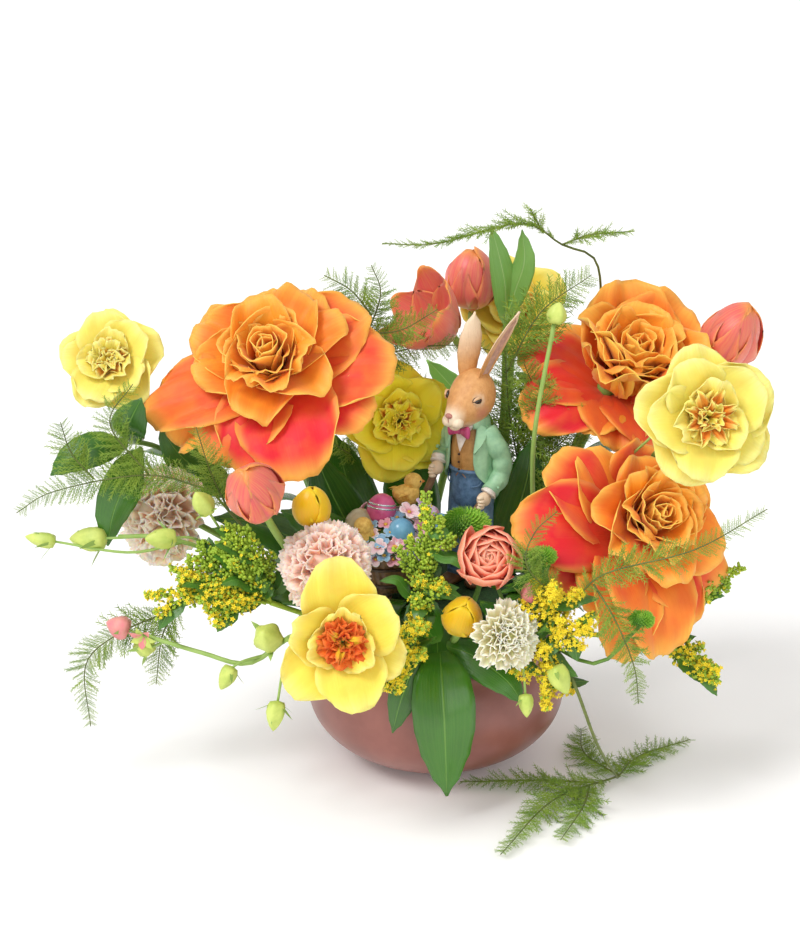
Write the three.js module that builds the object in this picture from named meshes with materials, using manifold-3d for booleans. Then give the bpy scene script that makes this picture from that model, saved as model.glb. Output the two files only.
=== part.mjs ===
// A spring flower arrangement in a round stoneware bowl.
//
// A block of wet floral foam fills the bowl and stands a few centimetres proud of its rim. Every stem, leafy
// stem and frond stands in its own hole in that foam. A cast resin ornament, a rabbit in a jacket that pushes
// a wheelbarrow of painted eggs, chicks and blossoms, rests on the foam's flat top.
//
// Millimetres, +Z up, the front of the arrangement towards -Y. The origin is the centre of the bowl's foot.
import * as THREE from "three";
import { mergeVertices } from "three/addons/utils/BufferGeometryUtils.js";
import Module from "manifold-3d";

const wasm = await Module();
wasm.setup();

// ---------------------------------------------------------------------------------------------------------
// Driving dimensions
// ---------------------------------------------------------------------------------------------------------

const BOWL = { radius: 90, height: 88, footRadius: 40, rimRadius: 80, wall: 5, floor: 7, sides: 20 };
const FOAM = { top: 125, topRadius: 63, shoulderRadius: 72, clearance: 1.6, chamfer: 3, sides: 12 };
const GAP = 0.3; // between pieces that touch
const SLACK = 0.05; // how far a cut piece's surface may be evened out
const HOLE_DEPTH = 26; // how far a stem is pushed into the foam
const FOAM_HEART = [0, 8, 66]; // the point that the stems are aimed at
const PETAL = 1.0; // thickness of a petal at its midrib
const LEAF = 1.1; // thickness of a leaf at its midrib
const NEEDLE = { thickness: 0.8, core: 1, base: 4, pitch: 27, bare: 13 }; // the needles of the fern

// ---------------------------------------------------------------------------------------------------------
// Colours, as the photograph shows them
// ---------------------------------------------------------------------------------------------------------

const paint = (color, roughness, metalness = 0) =>
  new THREE.MeshStandardMaterial({ color, roughness, metalness });
const COLOURS = {
  stoneware: paint(0xa06a60, 0.5),
  foam: paint(0x2f5a35, 0.95),
  roseOrange: paint(0xf0702a, 0.6),
  daffodilYellow: paint(0xf3dc55, 0.55),
  daffodilOrange: paint(0xe8641c, 0.6),
  tulipPink: paint(0xe8806a, 0.45),
  tulipYellow: paint(0xe9bd12, 0.45),
  carnationPink: paint(0xedb5a2, 0.7),
  ranunculusCoral: paint(0xe0614f, 0.55),
  lisianthusCream: paint(0xefe0b4, 0.65),
  budGreen: paint(0xc3cf6a, 0.6),
  buttonGreen: paint(0x6fa52a, 0.7),
  goldenrod: paint(0xd9bc1c, 0.8),
  fernGreen: paint(0x4a6b2a, 0.8),
  leafGreen: paint(0x3b7a22, 0.35),
  stemGreen: paint(0x6a8f3a, 0.55),
  jacketGreen: paint(0x9fd0ac, 0.5),
  barrowBrown: paint(0x7a6048, 0.6),
  eggPink: paint(0xe06a93, 0.35),
};

// ---------------------------------------------------------------------------------------------------------
// Small tools
// ---------------------------------------------------------------------------------------------------------

const { lerp, degToRad: rad } = THREE.MathUtils;
const vec = (point) => new THREE.Vector3(...point);
const UP = vec([0, 0, 1]);

// Evenly spread numbers from 0 to 1, the same on each run.
function dice(seed) {
  let state = seed;
  return () => {
    state = (state * 1664525 + 1013904223) % 4294967296;
    return state / 4294967296;
  };
}

// Reads a list of evenly spaced values at t, from 0 to 1, straight between its entries.
function along(list, t) {
  const at = t * (list.length - 1);
  const low = Math.min(Math.floor(at), list.length - 2);
  return lerp(list[low], list[low + 1], at - low);
}

// A geometry's corners alone, with those that coincide merged.
function weld(geometry) {
  const source = geometry.index ? geometry.toNonIndexed() : geometry;
  return mergeVertices(new THREE.BufferGeometry().setAttribute("position", source.getAttribute("position")), 1e-4);
}

// A closed three.js geometry as a manifold solid.
function solidOf(geometry) {
  const merged = weld(geometry);
  const corners = merged.index.array;
  const position = merged.getAttribute("position");
  const faces = [];
  let volume = 0;
  for (let i = 0; i < corners.length; i += 3) {
    const [a, b, c] = corners.slice(i, i + 3);
    if (a === b || b === c || c === a) continue; // a face that closed up at a pole
    faces.push(a, b, c);
    const [pa, pb, pc] = [a, b, c].map((k) => new THREE.Vector3().fromBufferAttribute(position, k));
    volume += pa.dot(pb.cross(pc));
  }
  if (volume < 0) faces.reverse();
  return new wasm.Manifold(
    new wasm.Mesh({
      numProp: 3,
      vertProperties: Float32Array.from(position.array),
      triVerts: Uint32Array.from(faces),
    }),
  );
}

// A manifold solid as a three.js geometry.
function geometryOf(solid) {
  const mesh = solid.getMesh();
  const geometry = new THREE.BufferGeometry();
  geometry.setAttribute("position", new THREE.BufferAttribute(Float32Array.from(mesh.vertProperties), 3));
  geometry.setIndex(new THREE.BufferAttribute(Uint32Array.from(mesh.triVerts), 1));
  geometry.computeVertexNormals();
  return geometry;
}

const join = (solids) => wasm.Manifold.union(solids);

// The same solid with its faces pushed out by `gap`, to cut room for it in a neighbour. A corner moves along
// the mean of its faces, weighed by their angles there, and further the sharper it is, up to four times the gap.
function grown(solid, gap) {
  const { vertProperties, triVerts, numVert } = solid.getMesh();
  const corners = Array.from({ length: numVert }, (_, i) => vec(vertProperties.slice(3 * i, 3 * i + 3)));
  const means = corners.map(() => new THREE.Vector3());
  const flatness = corners.map(() => 1);
  const eachCorner = (act) => {
    for (let i = 0; i < triVerts.length; i += 3) {
      const at = [...triVerts.slice(i, i + 3)];
      const normal = new THREE.Triangle(...at.map((k) => corners[k])).getNormal(new THREE.Vector3());
      at.forEach((k, n) => act(k, at[(n + 1) % 3], at[(n + 2) % 3], normal));
    }
  };
  eachCorner((k, next, last, normal) => {
    const angle = corners[next].clone().sub(corners[k]).angleTo(corners[last].clone().sub(corners[k]));
    means[k].addScaledVector(normal, angle);
  });
  for (const mean of means) mean.normalize();
  eachCorner((k, next, last, normal) => {
    if (normal.lengthSq() > 0) flatness[k] = Math.min(flatness[k], normal.dot(means[k]));
  });
  const moved = corners.map((corner, k) => corner.clone().addScaledVector(means[k], gap / Math.max(flatness[k], 0.25)));
  return new wasm.Manifold(
    new wasm.Mesh({ numProp: 3, triVerts, vertProperties: Float32Array.from(moved.flatMap((p) => p.toArray())) }),
  );
}

// A thin sheet that `place(s, t)` lays out, s from -1 to 1 across it and t from 0 to 1 along it. It is
// `thickness` through at its middle and sharp at its rim, and both faces are split alike.
function blade(place, thickness, across, rows) {
  const sheet = new THREE.PlaneGeometry(2, 1, across, rows);
  const grid = sheet.getAttribute("position");
  const rim = [];
  for (let i = 0; i < grid.count; i++) {
    const s = grid.getX(i);
    const t = grid.getY(i) + 0.5;
    rim.push(Math.abs(s) > 0.999 || t < 0.001 || t > 0.999);
    grid.setXYZ(i, ...place(s, t));
  }
  sheet.computeVertexNormals();
  const normal = sheet.getAttribute("normal");
  const face = (side) => {
    const shifted = sheet.clone();
    const position = shifted.getAttribute("position");
    for (let i = 0; i < position.count; i++) {
      const push = rim[i] ? 0 : (side * thickness) / 2;
      position.setXYZ(
        i,
        position.getX(i) + normal.getX(i) * push,
        position.getY(i) + normal.getY(i) * push,
        position.getZ(i) + normal.getZ(i) * push,
      );
    }
    if (side < 0) shifted.index.array.reverse();
    return shifted.toNonIndexed().getAttribute("position").array;
  };
  const both = Float32Array.from([...face(1), ...face(-1)]);
  return solidOf(new THREE.BufferGeometry().setAttribute("position", new THREE.BufferAttribute(both, 3)));
}

// A rod of `sides` flat sides along a curve.
function rodGeometry(curve, radius, sides, steps) {
  const outline = new THREE.Shape();
  for (let i = 0; i < sides; i++) {
    const angle = (i / sides) * 2 * Math.PI;
    outline[i ? "lineTo" : "moveTo"](radius * Math.cos(angle), radius * Math.sin(angle));
  }
  return new THREE.ExtrudeGeometry(outline, { steps, extrudePath: curve, bevelEnabled: false });
}
const rod = (curve, radius, sides, steps) => solidOf(rodGeometry(curve, radius, sides, steps));

const route = (points) => new THREE.CatmullRomCurve3(points.map(vec));

// A rod with the chain of points that its middle runs through, for other pieces to grow from.
function twig(points, radius, sides, steps) {
  const curve = route(points);
  return { curve, solid: rod(curve, radius, sides, steps), chain: curve.getSpacedPoints(steps) };
}

// A list of points whose first is moved to the nearest place on any of the chains.
function grownFrom(chains, [first, ...rest]) {
  const nearest = new THREE.Vector3(Infinity, 0, 0);
  const foot = new THREE.Vector3();
  for (const chain of chains) {
    for (let i = 1; i < chain.length; i++) {
      new THREE.Line3(chain[i - 1], chain[i]).closestPointToPoint(vec(first), true, foot);
      if (foot.distanceTo(vec(first)) < nearest.distanceTo(vec(first))) nearest.copy(foot);
    }
  }
  return [nearest.toArray(), ...rest];
}

// A ball squeezed to three half sizes, turned and set at a point.
function ball(at, [x, y, z], detail = 0, turn = [0, 0, 0]) {
  const geometry = new THREE.IcosahedronGeometry(1, detail).scale(x, y, z);
  const [a, b, c] = turn.map(rad);
  return solidOf(geometry.rotateX(a).rotateY(b).rotateZ(c).translate(...at));
}

// A shape turned about the Z axis: `profile` lists radius and height, from the axis back to the axis.
function turnedGeometry(profile, sides) {
  const points = profile.map(([r, z]) => new THREE.Vector2(r, z));
  return new THREE.LatheGeometry(points, sides).rotateX(Math.PI / 2);
}
const turned = (profile, sides) => solidOf(turnedGeometry(profile, sides));

// ---------------------------------------------------------------------------------------------------------
// The pieces, in the order in which they keep their shape: a later piece makes room for an earlier one
// ---------------------------------------------------------------------------------------------------------

const pieces = [];
function piece(name, material, solid, seat = new THREE.Matrix4()) {
  pieces.push({ name, material, solid, seat });
}

// The seat of a bloom: the foot of its petals, and the way it faces, in degrees to the right of the front
// and degrees above level. Its own frame has +Z out of its face, +X to its right and +Y up its face.
function seat(at, [turn, lift]) {
  const facing = vec([
    Math.sin(rad(turn)) * Math.cos(rad(lift)),
    -Math.cos(rad(turn)) * Math.cos(rad(lift)),
    Math.sin(rad(lift)),
  ]);
  const right = UP.clone().cross(facing).normalize();
  const top = facing.clone().cross(right);
  return new THREE.Matrix4().makeBasis(right, top, facing).setPosition(...at);
}

// The lower end of a stem that is pushed into the foam at `hole`, aimed at the foam's heart.
const footOf = (hole) => vec(hole).add(vec(FOAM_HEART).sub(vec(hole)).setLength(HOLE_DEPTH));

// A stem from its hole in the foam to the back of a bloom, `behind` its seat. `straight` is how far it runs
// in line with the bloom before it bends down to the foam.
function stemSolid(hole, seatAt, behind, radius, straight) {
  const foot = footOf(hole);
  const facing = new THREE.Vector3().setFromMatrixColumn(seatAt, 2);
  const top = new THREE.Vector3().setFromMatrixPosition(seatAt).addScaledVector(facing, -behind);
  const reach = foot.distanceTo(top) / 3;
  const out = vec(hole).sub(foot).setLength(Math.max(reach, HOLE_DEPTH));
  const curve = new THREE.CubicBezierCurve3(
    foot,
    foot.clone().add(out),
    top.clone().addScaledVector(facing, -straight),
    top,
  );
  return rod(curve, radius, 4, 4);
}

// ---------------------------------------------------------------------------------------------------------
// Bowl: thick turned stoneware, its belly rounding in under itself to a small foot
// ---------------------------------------------------------------------------------------------------------

// The side of the bowl from its foot to its rim, as radius and height, moved in from its outside by `inset`.
function bowlSide(inset) {
  const { radius, height, footRadius, rimRadius, floor } = BOWL;
  const outside = [
    [footRadius, inset ? floor : 0],
    [radius * 0.76, height * 0.16],
    [radius * 0.94, height * 0.36],
    [radius, height * 0.6],
    [radius * 0.975, height * 0.8],
    [rimRadius, height],
  ];
  const curve = new THREE.SplineCurve(outside.map(([r, z]) => new THREE.Vector2(r - inset, z)));
  return curve.getPoints(5).map((p) => [p.x, p.y]);
}

function bowl() {
  const outside = bowlSide(0);
  const inside = bowlSide(BOWL.wall).reverse();
  return turned([[0, 0], ...outside, ...inside, [0, BOWL.floor]], BOWL.sides);
}
piece("bowl", COLOURS.stoneware, bowl());

// ---------------------------------------------------------------------------------------------------------
// Resin ornament: the rabbit stands behind its barrow and holds one handle in each paw
// ---------------------------------------------------------------------------------------------------------

const ORNAMENT = { floor: FOAM.top + GAP, turn: -38 };
const RABBIT = { at: [24, 4, ORNAMENT.floor], leg: 52, torso: 66, headRadius: 20, ear: 54, shoulder: 20 };
const BARROW = { at: [-27, -31, ORNAMENT.floor], tubFloor: 14, tubTop: 44, length: 62, width: 44, axle: 18 };

// The ornament's own frame: +Y is the way the rabbit faces, down the barrow.
const ornamentSeat = (at) => new THREE.Matrix4().makeRotationZ(Math.PI + rad(ORNAMENT.turn)).setPosition(...at);
const HANDLE_REST = [
  [-20, 14, 68],
  [20, 14, 68],
]; // where each paw closes on its handle, in the rabbit's frame

function rabbit() {
  const { leg, torso, headRadius, ear, shoulder } = RABBIT;
  const chest = leg + torso;
  const head = chest + headRadius * 0.72;
  const earBlade = (lean, tip) =>
    blade(
      (s, t) => [
        lean + (tip[0] - lean) * t + s * 7 * along([0.55, 1, 0.85, 0.1], t),
        tip[1] * t - 2.5 * s * s,
        head + headRadius * 0.6 + ear * t,
      ],
      4,
      2,
      3,
    );
  const limbs = [-1, 1].flatMap((side) => [
    rod(route([[side * 8, 0, 6], [side * 8.5, 1, leg * 0.6], [side * 7, 0, leg + 6]]), 8, 6, 2), // leg
    ball([side * 9, 5, 4.2], [7, 12, 5]), // shoe
    rod(
      route([
        [side * (shoulder - 4), 0, chest - 9],
        [side * (shoulder + 4), 1, chest - 36],
        [side * 20, 10, HANDLE_REST[0][2] + 4],
      ]),
      6,
      5,
      2,
    ), // sleeve
    ball([side * 20, 14, HANDLE_REST[0][2]], [5.5, 6.5, 6.5]), // paw
  ]);
  return join([
    ...limbs,
    ball([0, 0, leg + torso * 0.16], [17, 14, 18]), // hips
    ball([0, 0, leg + torso * 0.55], [shoulder - 1, 14, torso * 0.48], 1), // chest in its jacket
    ball([0, 2, chest - 2], [9, 8, 8]), // neck and collar
    rod(route([[-9, 11, chest - 6], [0, 13, chest - 7], [9, 11, chest - 6]]), 3, 4, 2), // bow tie
    ball([0, 1, head], [headRadius * 0.92, headRadius, headRadius], 1),
    ball([0, headRadius * 0.8, head - 6], [10, 11, 9]), // muzzle
    earBlade(-7, [-14, -26]),
    earBlade(7, [8, -12]),
    ball([0, -15, leg + 2], [6, 6, 6]), // tail
  ]);
}
piece("rabbit_figure", COLOURS.jacketGreen, rabbit(), ornamentSeat(RABBIT.at));

function barrow() {
  const { tubFloor, tubTop, length, width, axle } = BARROW;
  const toRabbit = new THREE.Matrix4()
    .copy(ornamentSeat(BARROW.at))
    .invert()
    .multiply(ornamentSeat(RABBIT.at));
  const tub = new THREE.CylinderGeometry(1, 0.72, tubTop - tubFloor, 12)
    .rotateX(Math.PI / 2)
    .scale(width / 2, length / 2, 1)
    .translate(0, 0, (tubFloor + tubTop) / 2);
  const wheel = new THREE.CylinderGeometry(12, 12, 5, 12).rotateZ(Math.PI / 2).translate(0, axle, 11.6);
  const handles = HANDLE_REST.map(([x, y, z]) => {
    const paw = new THREE.Vector3(x, y, z).applyMatrix4(toRabbit);
    const start = vec([Math.sign(x) * 12, -length * 0.2, tubFloor + 8]);
    const end = paw.clone().add(paw.clone().sub(start).setLength(12));
    return rod(new THREE.LineCurve3(start, end), 2.2, 5, 1);
  });
  const legs = [-1, 1].map((side) =>
    rod(route([[side * 13, -length * 0.3, tubFloor + 6], [side * 15, -length * 0.36, 0]]), 2.4, 5, 1),
  );
  return join([solidOf(tub), solidOf(wheel), ...handles, ...legs]);
}

// A five-petalled resin blossom at a point on the heap, facing away from the heap's middle.
function blossom(at, radius) {
  const facing = vec(at).sub(vec([0, 0, BARROW.tubTop - 10])).normalize();
  const turn = new THREE.Quaternion().setFromUnitVectors(UP, facing);
  const disc = new THREE.CylinderGeometry(radius, radius * 0.5, 5, 5).rotateX(Math.PI / 2);
  return solidOf(disc.applyQuaternion(turn).translate(...at));
}

const EGGS = [
  { at: [2, -2, 66], size: [11, 11, 13], lean: 20, detail: 1 },
  { at: [-16, 11, 58], size: [9, 9, 11], lean: -30, detail: 0 },
  { at: [15, 14, 58], size: [10, 10, 12], lean: 40, detail: 0 },
];
const BLOSSOMS = [
  [-9, 26, 56], [6, 30, 53], [-19, 21, 50], [-20, -6, 60], [19, -4, 60],
];

function barrowLoad() {
  const { tubTop, length, width } = BARROW;
  const top = tubTop + GAP;
  const heap = new THREE.SphereGeometry(1, 10, 3, 0, 2 * Math.PI, 0, Math.PI / 2)
    .rotateX(Math.PI / 2)
    .scale(width * 0.52, length * 0.52, 17);
  const base = new THREE.CircleGeometry(1, 10).scale(width * 0.52, length * 0.52, 1).rotateX(Math.PI);
  const closed = new THREE.BufferGeometry().setAttribute(
    "position",
    new THREE.BufferAttribute(
      Float32Array.from([
        ...heap.toNonIndexed().getAttribute("position").array,
        ...base.toNonIndexed().getAttribute("position").array,
      ]),
      3,
    ),
  );
  const chick = (at, turn) => {
    const face = new THREE.Vector3(0, 8, 8).applyAxisAngle(UP, rad(turn)).add(vec(at));
    const beak = new THREE.Vector3(0, 15, 8).applyAxisAngle(UP, rad(turn)).add(vec(at));
    return [
      ball(at, [8, 10, 9], 0, [0, 0, turn]),
      ball(face.toArray(), [6, 6, 6]),
      rod(new THREE.LineCurve3(face, beak), 1.6, 4, 1),
    ];
  };
  return join([
    solidOf(closed.translate(0, 0, top)),
    ...EGGS.map(({ at, size, lean, detail }) => ball(at, size, detail, [lean, 0, 0])),
    ...chick([-2, -19, 64], 150),
    ...chick([4, 22, 58], 20),
    ...BLOSSOMS.map((at) => blossom(at, 8)),
  ]);
}
piece("egg_barrow", COLOURS.barrowBrown, barrow(), ornamentSeat(BARROW.at));
piece("barrow_load", COLOURS.eggPink, barrowLoad(), ornamentSeat(BARROW.at));

// ---------------------------------------------------------------------------------------------------------
// Petals
// ---------------------------------------------------------------------------------------------------------

// Half widths of a petal from its claw to its tip, as shares of its greatest.
const OUTLINES = {
  rose: [0.06, 0.82, 1, 0.98, 0.55],
  oval: [0.06, 0.85, 1, 0.8, 0.3],
  tulip: [0.06, 0.95, 1, 0.78, 0.12],
  fan: [0.06, 0.6, 1, 1],
  star: [0.06, 0.8, 0.75, 0.05],
};

// One petal of a bloom whose axis is +Z. It leaves the axis at `angle`, and leans away from it by `open[0]`
// degrees at its claw and `open[1]` at its tip. Across, it bends round the axis and keeps to its own share of
// the ring, `room` radians to each side. `twist` lifts one edge, and `ripple` waves the free end.
function petal({ angle, length, width, open, room, outline, root, lift, twist, ripple, waves, across, rows }) {
  const WALK = 8;
  const place = (s, t) => {
    let out = root;
    let up = lift;
    for (let i = 0; i < WALK; i++) {
      const lean = rad(lerp(open[0], open[1], (t * (i + 0.5)) / WALK));
      out += (Math.sin(lean) * length * t) / WALK;
      up += (Math.cos(lean) * length * t) / WALK;
    }
    const lean = rad(lerp(open[0], open[1], t));
    const half = (width / 2) * along(outline, t);
    const turn = rad(angle) + s * Math.min(half / out, room);
    const rise = twist * s * half + ripple * t * t * Math.sin(waves * Math.PI * s + angle);
    const from = out - rise * Math.cos(lean);
    return [from * Math.cos(turn), from * Math.sin(turn), up + rise * Math.sin(lean)];
  };
  return blade(place, PETAL, across, rows);
}
const PLAIN = { outline: OUTLINES.oval, root: 3, lift: 0, twist: 0.1, ripple: 0, waves: 2, across: 2, rows: 3 };

// A ring of like petals, each a little different, that stand side by side.
function ring(count, start, common, roll) {
  const room = (Math.PI / count) * 0.94;
  return Array.from({ length: count }, (_, i) => {
    const vary = (amount) => 1 + (roll() - 0.5) * amount;
    return petal({
      ...PLAIN,
      ...common,
      room,
      angle: start + (i * 360) / count + (roll() - 0.5) * 4,
      length: common.length * vary(0.14),
      width: common.width * vary(0.1),
    });
  });
}

// ---------------------------------------------------------------------------------------------------------
// Cut flowers: a stem in the foam, and a bloom on its seat at the top of it
// ---------------------------------------------------------------------------------------------------------

// The place where a stem goes into the side of the foam, `turn` degrees to the right of the front.
function mouth(turn, height) {
  const { top, topRadius, shoulderRadius } = FOAM;
  const reach = lerp(shoulderRadius, topRadius, (height - BOWL.height) / (top - BOWL.height));
  return [reach * Math.sin(rad(turn)), -reach * Math.cos(rad(turn)), height];
}

const SEPAL_BASE = 4; // how far below its seat a bloom holds its stem

// Fully opened garden roses, whose outer petals are folded back by hand.
function roseBloom({ reach, open, seed }) {
  const roll = dice(seed);
  const layer = (count, start, share, width, lean, lift, rows) =>
    ring(
      count,
      start,
      { length: reach * share, width: reach * width, open: lean, lift, rows, outline: OUTLINES.rose, twist: 0.16 },
      roll,
    );
  return join([
    ball([0, 0, 9], [8, 8, 15]),
    ...layer(6, 0, 1, 1.05, open, 0, 3),
    ...layer(5, 20, 0.74, 0.8, [44, 64], 6, 2),
    ...layer(3, 50, 0.6, 0.7, [20, 20], 11, 2),
  ]);
}

// Double daffodils: two rings of broad petals, and a frilled cup or a third ring inside them.
function daffodilBloom({ reach, frilled, seed }) {
  const roll = dice(seed);
  const layer = (count, start, share, width, lean, lift, rows) =>
    ring(count, start, { length: reach * share, width: reach * width, open: lean, lift, rows }, roll);
  return join([
    turned([[0, -12], [2.6, -12], [5, -2], [5, 7], [0, DAFFODIL_TUBE]], 6),
    ...layer(6, 0, 1, 0.84, [62, 96], 0, 2),
    ...layer(4, 30, 0.8, 0.85, [40, 72], 3, 2),
    ...(frilled ? [] : layer(3, 10, 0.5, 0.7, [16, 40], 5, 2)),
  ]);
}

const DAFFODIL_TUBE = 8; // where the tube of a daffodil ends, and the frilled cup stands on it

function daffodilCup({ seed }) {
  const roll = dice(seed + 1);
  const foot = DAFFODIL_TUBE + GAP;
  const frill = { length: 15, width: 17, open: [30, 62], outline: OUTLINES.fan, lift: 11, ripple: 1.6 };
  return join([
    turned([[0, foot], [4, foot], [5.5, foot + 6], [0, foot + 9]], 6),
    ...ring(5, 0, { ...frill, waves: 1.5, rows: 2 }, roll),
  ]);
}

// Tulips: three outer and three inner petals that close to an egg.
function tulipBloom({ reach, spread, seed }) {
  const roll = dice(seed);
  const layer = (start, share, root, rows) =>
    ring(
      3,
      start,
      { length: reach * share, width: reach * 0.8, open: spread, outline: OUTLINES.tulip, root, rows, twist: 0 },
      roll,
    );
  return join([ball([0, 0, 1], [5.5, 5.5, 5]), ...layer(0, 1, 3.5, 3), ...layer(60, 0.94, 1, 2)]);
}

// Carnations: tight ruffled petals that burst from a green tube.
function carnationBloom({ reach, seed }) {
  const roll = dice(seed);
  const layer = (count, start, share, lean, lift) =>
    ring(
      count,
      start,
      {
        length: reach * share,
        width: reach * 0.85,
        open: lean,
        lift,
        outline: OUTLINES.fan,
        ripple: reach * 0.1,
        waves: 1,
        rows: 2,
      },
      roll,
    );
  return join([
    turned([[0, -14], [3, -14], [reach * 0.3, 5], [reach * 0.26, 13], [0, 16]], 6),
    ...layer(6, 0, 1, [62, 96], 0),
    ...layer(4, 20, 0.84, [36, 50], 6),
  ]);
}

// Ranunculus: thin petals laid round a ball, ring inside ring.
function ranunculusBloom({ reach, seed }) {
  const roll = dice(seed);
  const layer = (count, start, share, lean, root) =>
    ring(count, start, { length: reach * share, width: reach * 1.1, open: lean, root, rows: 2, twist: 0 }, roll);
  return join([
    ball([0, 0, reach * 0.3], [reach * 0.42, reach * 0.42, reach * 0.5]),
    ...layer(5, 0, 1.35, [92, 2], 4),
    ...layer(4, 36, 1.2, [80, -18], 3),
  ]);
}

// A fringed double lisianthus: pointed petals that stand out on all sides of a small heart.
function lisianthusBloom({ reach, seed }) {
  const roll = dice(seed);
  const layer = (count, start, share, lean, lift) =>
    ring(
      count,
      start,
      { length: reach * share, width: reach * 0.6, open: lean, lift, outline: OUTLINES.star, rows: 2 },
      roll,
    );
  return join([
    ball([0, 0, reach * 0.3], [reach * 0.3, reach * 0.3, reach * 0.4]),
    ...layer(7, 0, 1, [66, 98], 0),
    ...layer(5, 20, 0.95, [34, 54], 4),
  ]);
}

// A button chrysanthemum: a cushion of short quills, each a point raised from the cushion.
function buttonBloom(radius, detail) {
  const cushion = weld(new THREE.IcosahedronGeometry(1, detail));
  const position = cushion.getAttribute("position");
  const point = new THREE.Vector3();
  for (let i = 0; i < position.count; i++) {
    point.fromBufferAttribute(position, i).multiplyScalar(radius * (i % 3 ? 0.9 : 1.08));
    position.setXYZ(i, point.x, point.y, point.z * 0.75);
  }
  return solidOf(cushion);
}

const KINDS = {
  rose: { bloom: roseBloom, colour: COLOURS.roseOrange, stem: 3.2, straight: 30 },
  daffodil: { bloom: daffodilBloom, colour: COLOURS.daffodilYellow, stem: 2.8, straight: 16, behind: 12 + GAP },
  tulip: { bloom: tulipBloom, colour: COLOURS.tulipPink, stem: 2.8, straight: 40 },
  yellowTulip: { bloom: tulipBloom, colour: COLOURS.tulipYellow, stem: 2.4, straight: 24, behind: 1, fused: true },
  carnation: { bloom: carnationBloom, colour: COLOURS.carnationPink, stem: 2, straight: 24, behind: 11, fused: true },
  ranunculus: { bloom: ranunculusBloom, colour: COLOURS.ranunculusCoral, stem: 2, straight: 20 },
  lisianthus: { bloom: lisianthusBloom, colour: COLOURS.lisianthusCream, stem: 1.6, straight: 14 },
};

// `facing` is degrees to the right of the front, and degrees above level.
const FLOWERS = [
  {
    name: "rose_left",
    kind: "rose",
    at: [-106, -22, 284],
    facing: [-12, 46],
    hole: mouth(-116, 119),
    reach: 68,
    open: [62, 118],
  },
  {
    name: "rose_upright",
    kind: "rose",
    at: [116, 30, 258],
    facing: [18, 58],
    hole: mouth(126, 119),
    reach: 58,
    open: [50, 112],
  },
  {
    name: "rose_low",
    kind: "rose",
    at: [122, -56, 184],
    facing: [28, 34],
    hole: mouth(78, 108),
    reach: 68,
    open: [62, 116],
  },
  { name: "daffodil_left", kind: "daffodil", at: [-216, -4, 285], facing: [-15, 35], hole: mouth(-93, 116), reach: 43 },
  {
    name: "daffodil_right",
    kind: "daffodil",
    at: [170, -78, 272],
    facing: [10, 20],
    hole: mouth(97, 116),
    straight: 60,
    reach: 46,
    frilled: true,
  },
  {
    name: "daffodil_front",
    kind: "daffodil",
    at: [-62, -137, 144],
    facing: [3, 12],
    hole: mouth(-27, 103),
    reach: 50,
    frilled: true,
  },
  { name: "daffodil_centre", kind: "daffodil", at: [-27, 43, 229], facing: [10, 20], hole: mouth(-158, 119), reach: 44 },
  { name: "daffodil_back", kind: "daffodil", at: [55, 102, 290], facing: [0, 34], hole: mouth(148, 112), reach: 38 },
  { name: "tulip_front", kind: "tulip", at: [-113, -103, 219], facing: [-25, 55], hole: mouth(-58, 114), reach: 54 },
  { name: "tulip_top", kind: "tulip", at: [25, 84, 299], facing: [0, 86], hole: mouth(167, 119), reach: 54 },
  {
    name: "tulip_open",
    kind: "tulip",
    at: [10, 52, 288],
    facing: [-60, 40],
    hole: mouth(-172, 112),
    reach: 52,
    spread: [68, 10],
  },
  { name: "tulip_right", kind: "tulip", at: [190, 24, 278], facing: [70, 62], hole: mouth(112, 113), reach: 54 },
  {
    name: "yellow_tulip_left",
    kind: "yellowTulip",
    at: [-82, -84, 202],
    facing: [0, 78],
    hole: mouth(-72, 118),
    reach: 36,
  },
  {
    name: "yellow_tulip_front",
    kind: "yellowTulip",
    at: [14, -106, 139],
    facing: [10, 50],
    hole: mouth(8, 110),
    reach: 38,
  },
  {
    name: "carnation_front",
    kind: "carnation",
    at: [-72, -98, 176],
    facing: [-10, 34],
    hole: mouth(-50, 115),
    reach: 30,
  },
  { name: "carnation_left", kind: "carnation", at: [-180, -12, 180], facing: [-40, 25], hole: mouth(-105, 100), reach: 30 },
  { name: "ranunculus", kind: "ranunculus", at: [32, -99, 183], facing: [0, 25], hole: mouth(17, 117), reach: 24 },
  { name: "lisianthus", kind: "lisianthus", at: [41, -124, 140], facing: [15, 20], hole: mouth(22, 102), reach: 23 },
];
const TULIP_SPREAD = [62, -16];

const flowers = FLOWERS.map((flower, i) => {
  const kind = KINDS[flower.kind];
  const where = seat(flower.at, flower.facing);
  const seed = 11 + i;
  return {
    ...flower,
    kind,
    where,
    seed,
    bloom: kind.bloom({ spread: TULIP_SPREAD, seed, ...flower }),
    stem: stemSolid(flower.hole, where, kind.behind ?? SEPAL_BASE, kind.stem, flower.straight ?? kind.straight),
  };
});

for (const { name, kind, stem } of flowers) {
  if (!kind.fused) piece(`${name}_stem`, COLOURS.stemGreen, stem);
}

// ---------------------------------------------------------------------------------------------------------
// Buds on thin stalks
// ---------------------------------------------------------------------------------------------------------

// A bud at the end of a stalk: it stands at `at` and points along `towards`.
function bud(at, towards, length, radius) {
  const turn = new THREE.Quaternion().setFromUnitVectors(UP, vec(towards).normalize());
  const profile = [[0, -2], [radius, length * 0.3], [radius * 0.75, length * 0.78], [0, length]];
  return solidOf(turnedGeometry(profile, 5).applyQuaternion(turn).translate(...at));
}

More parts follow.
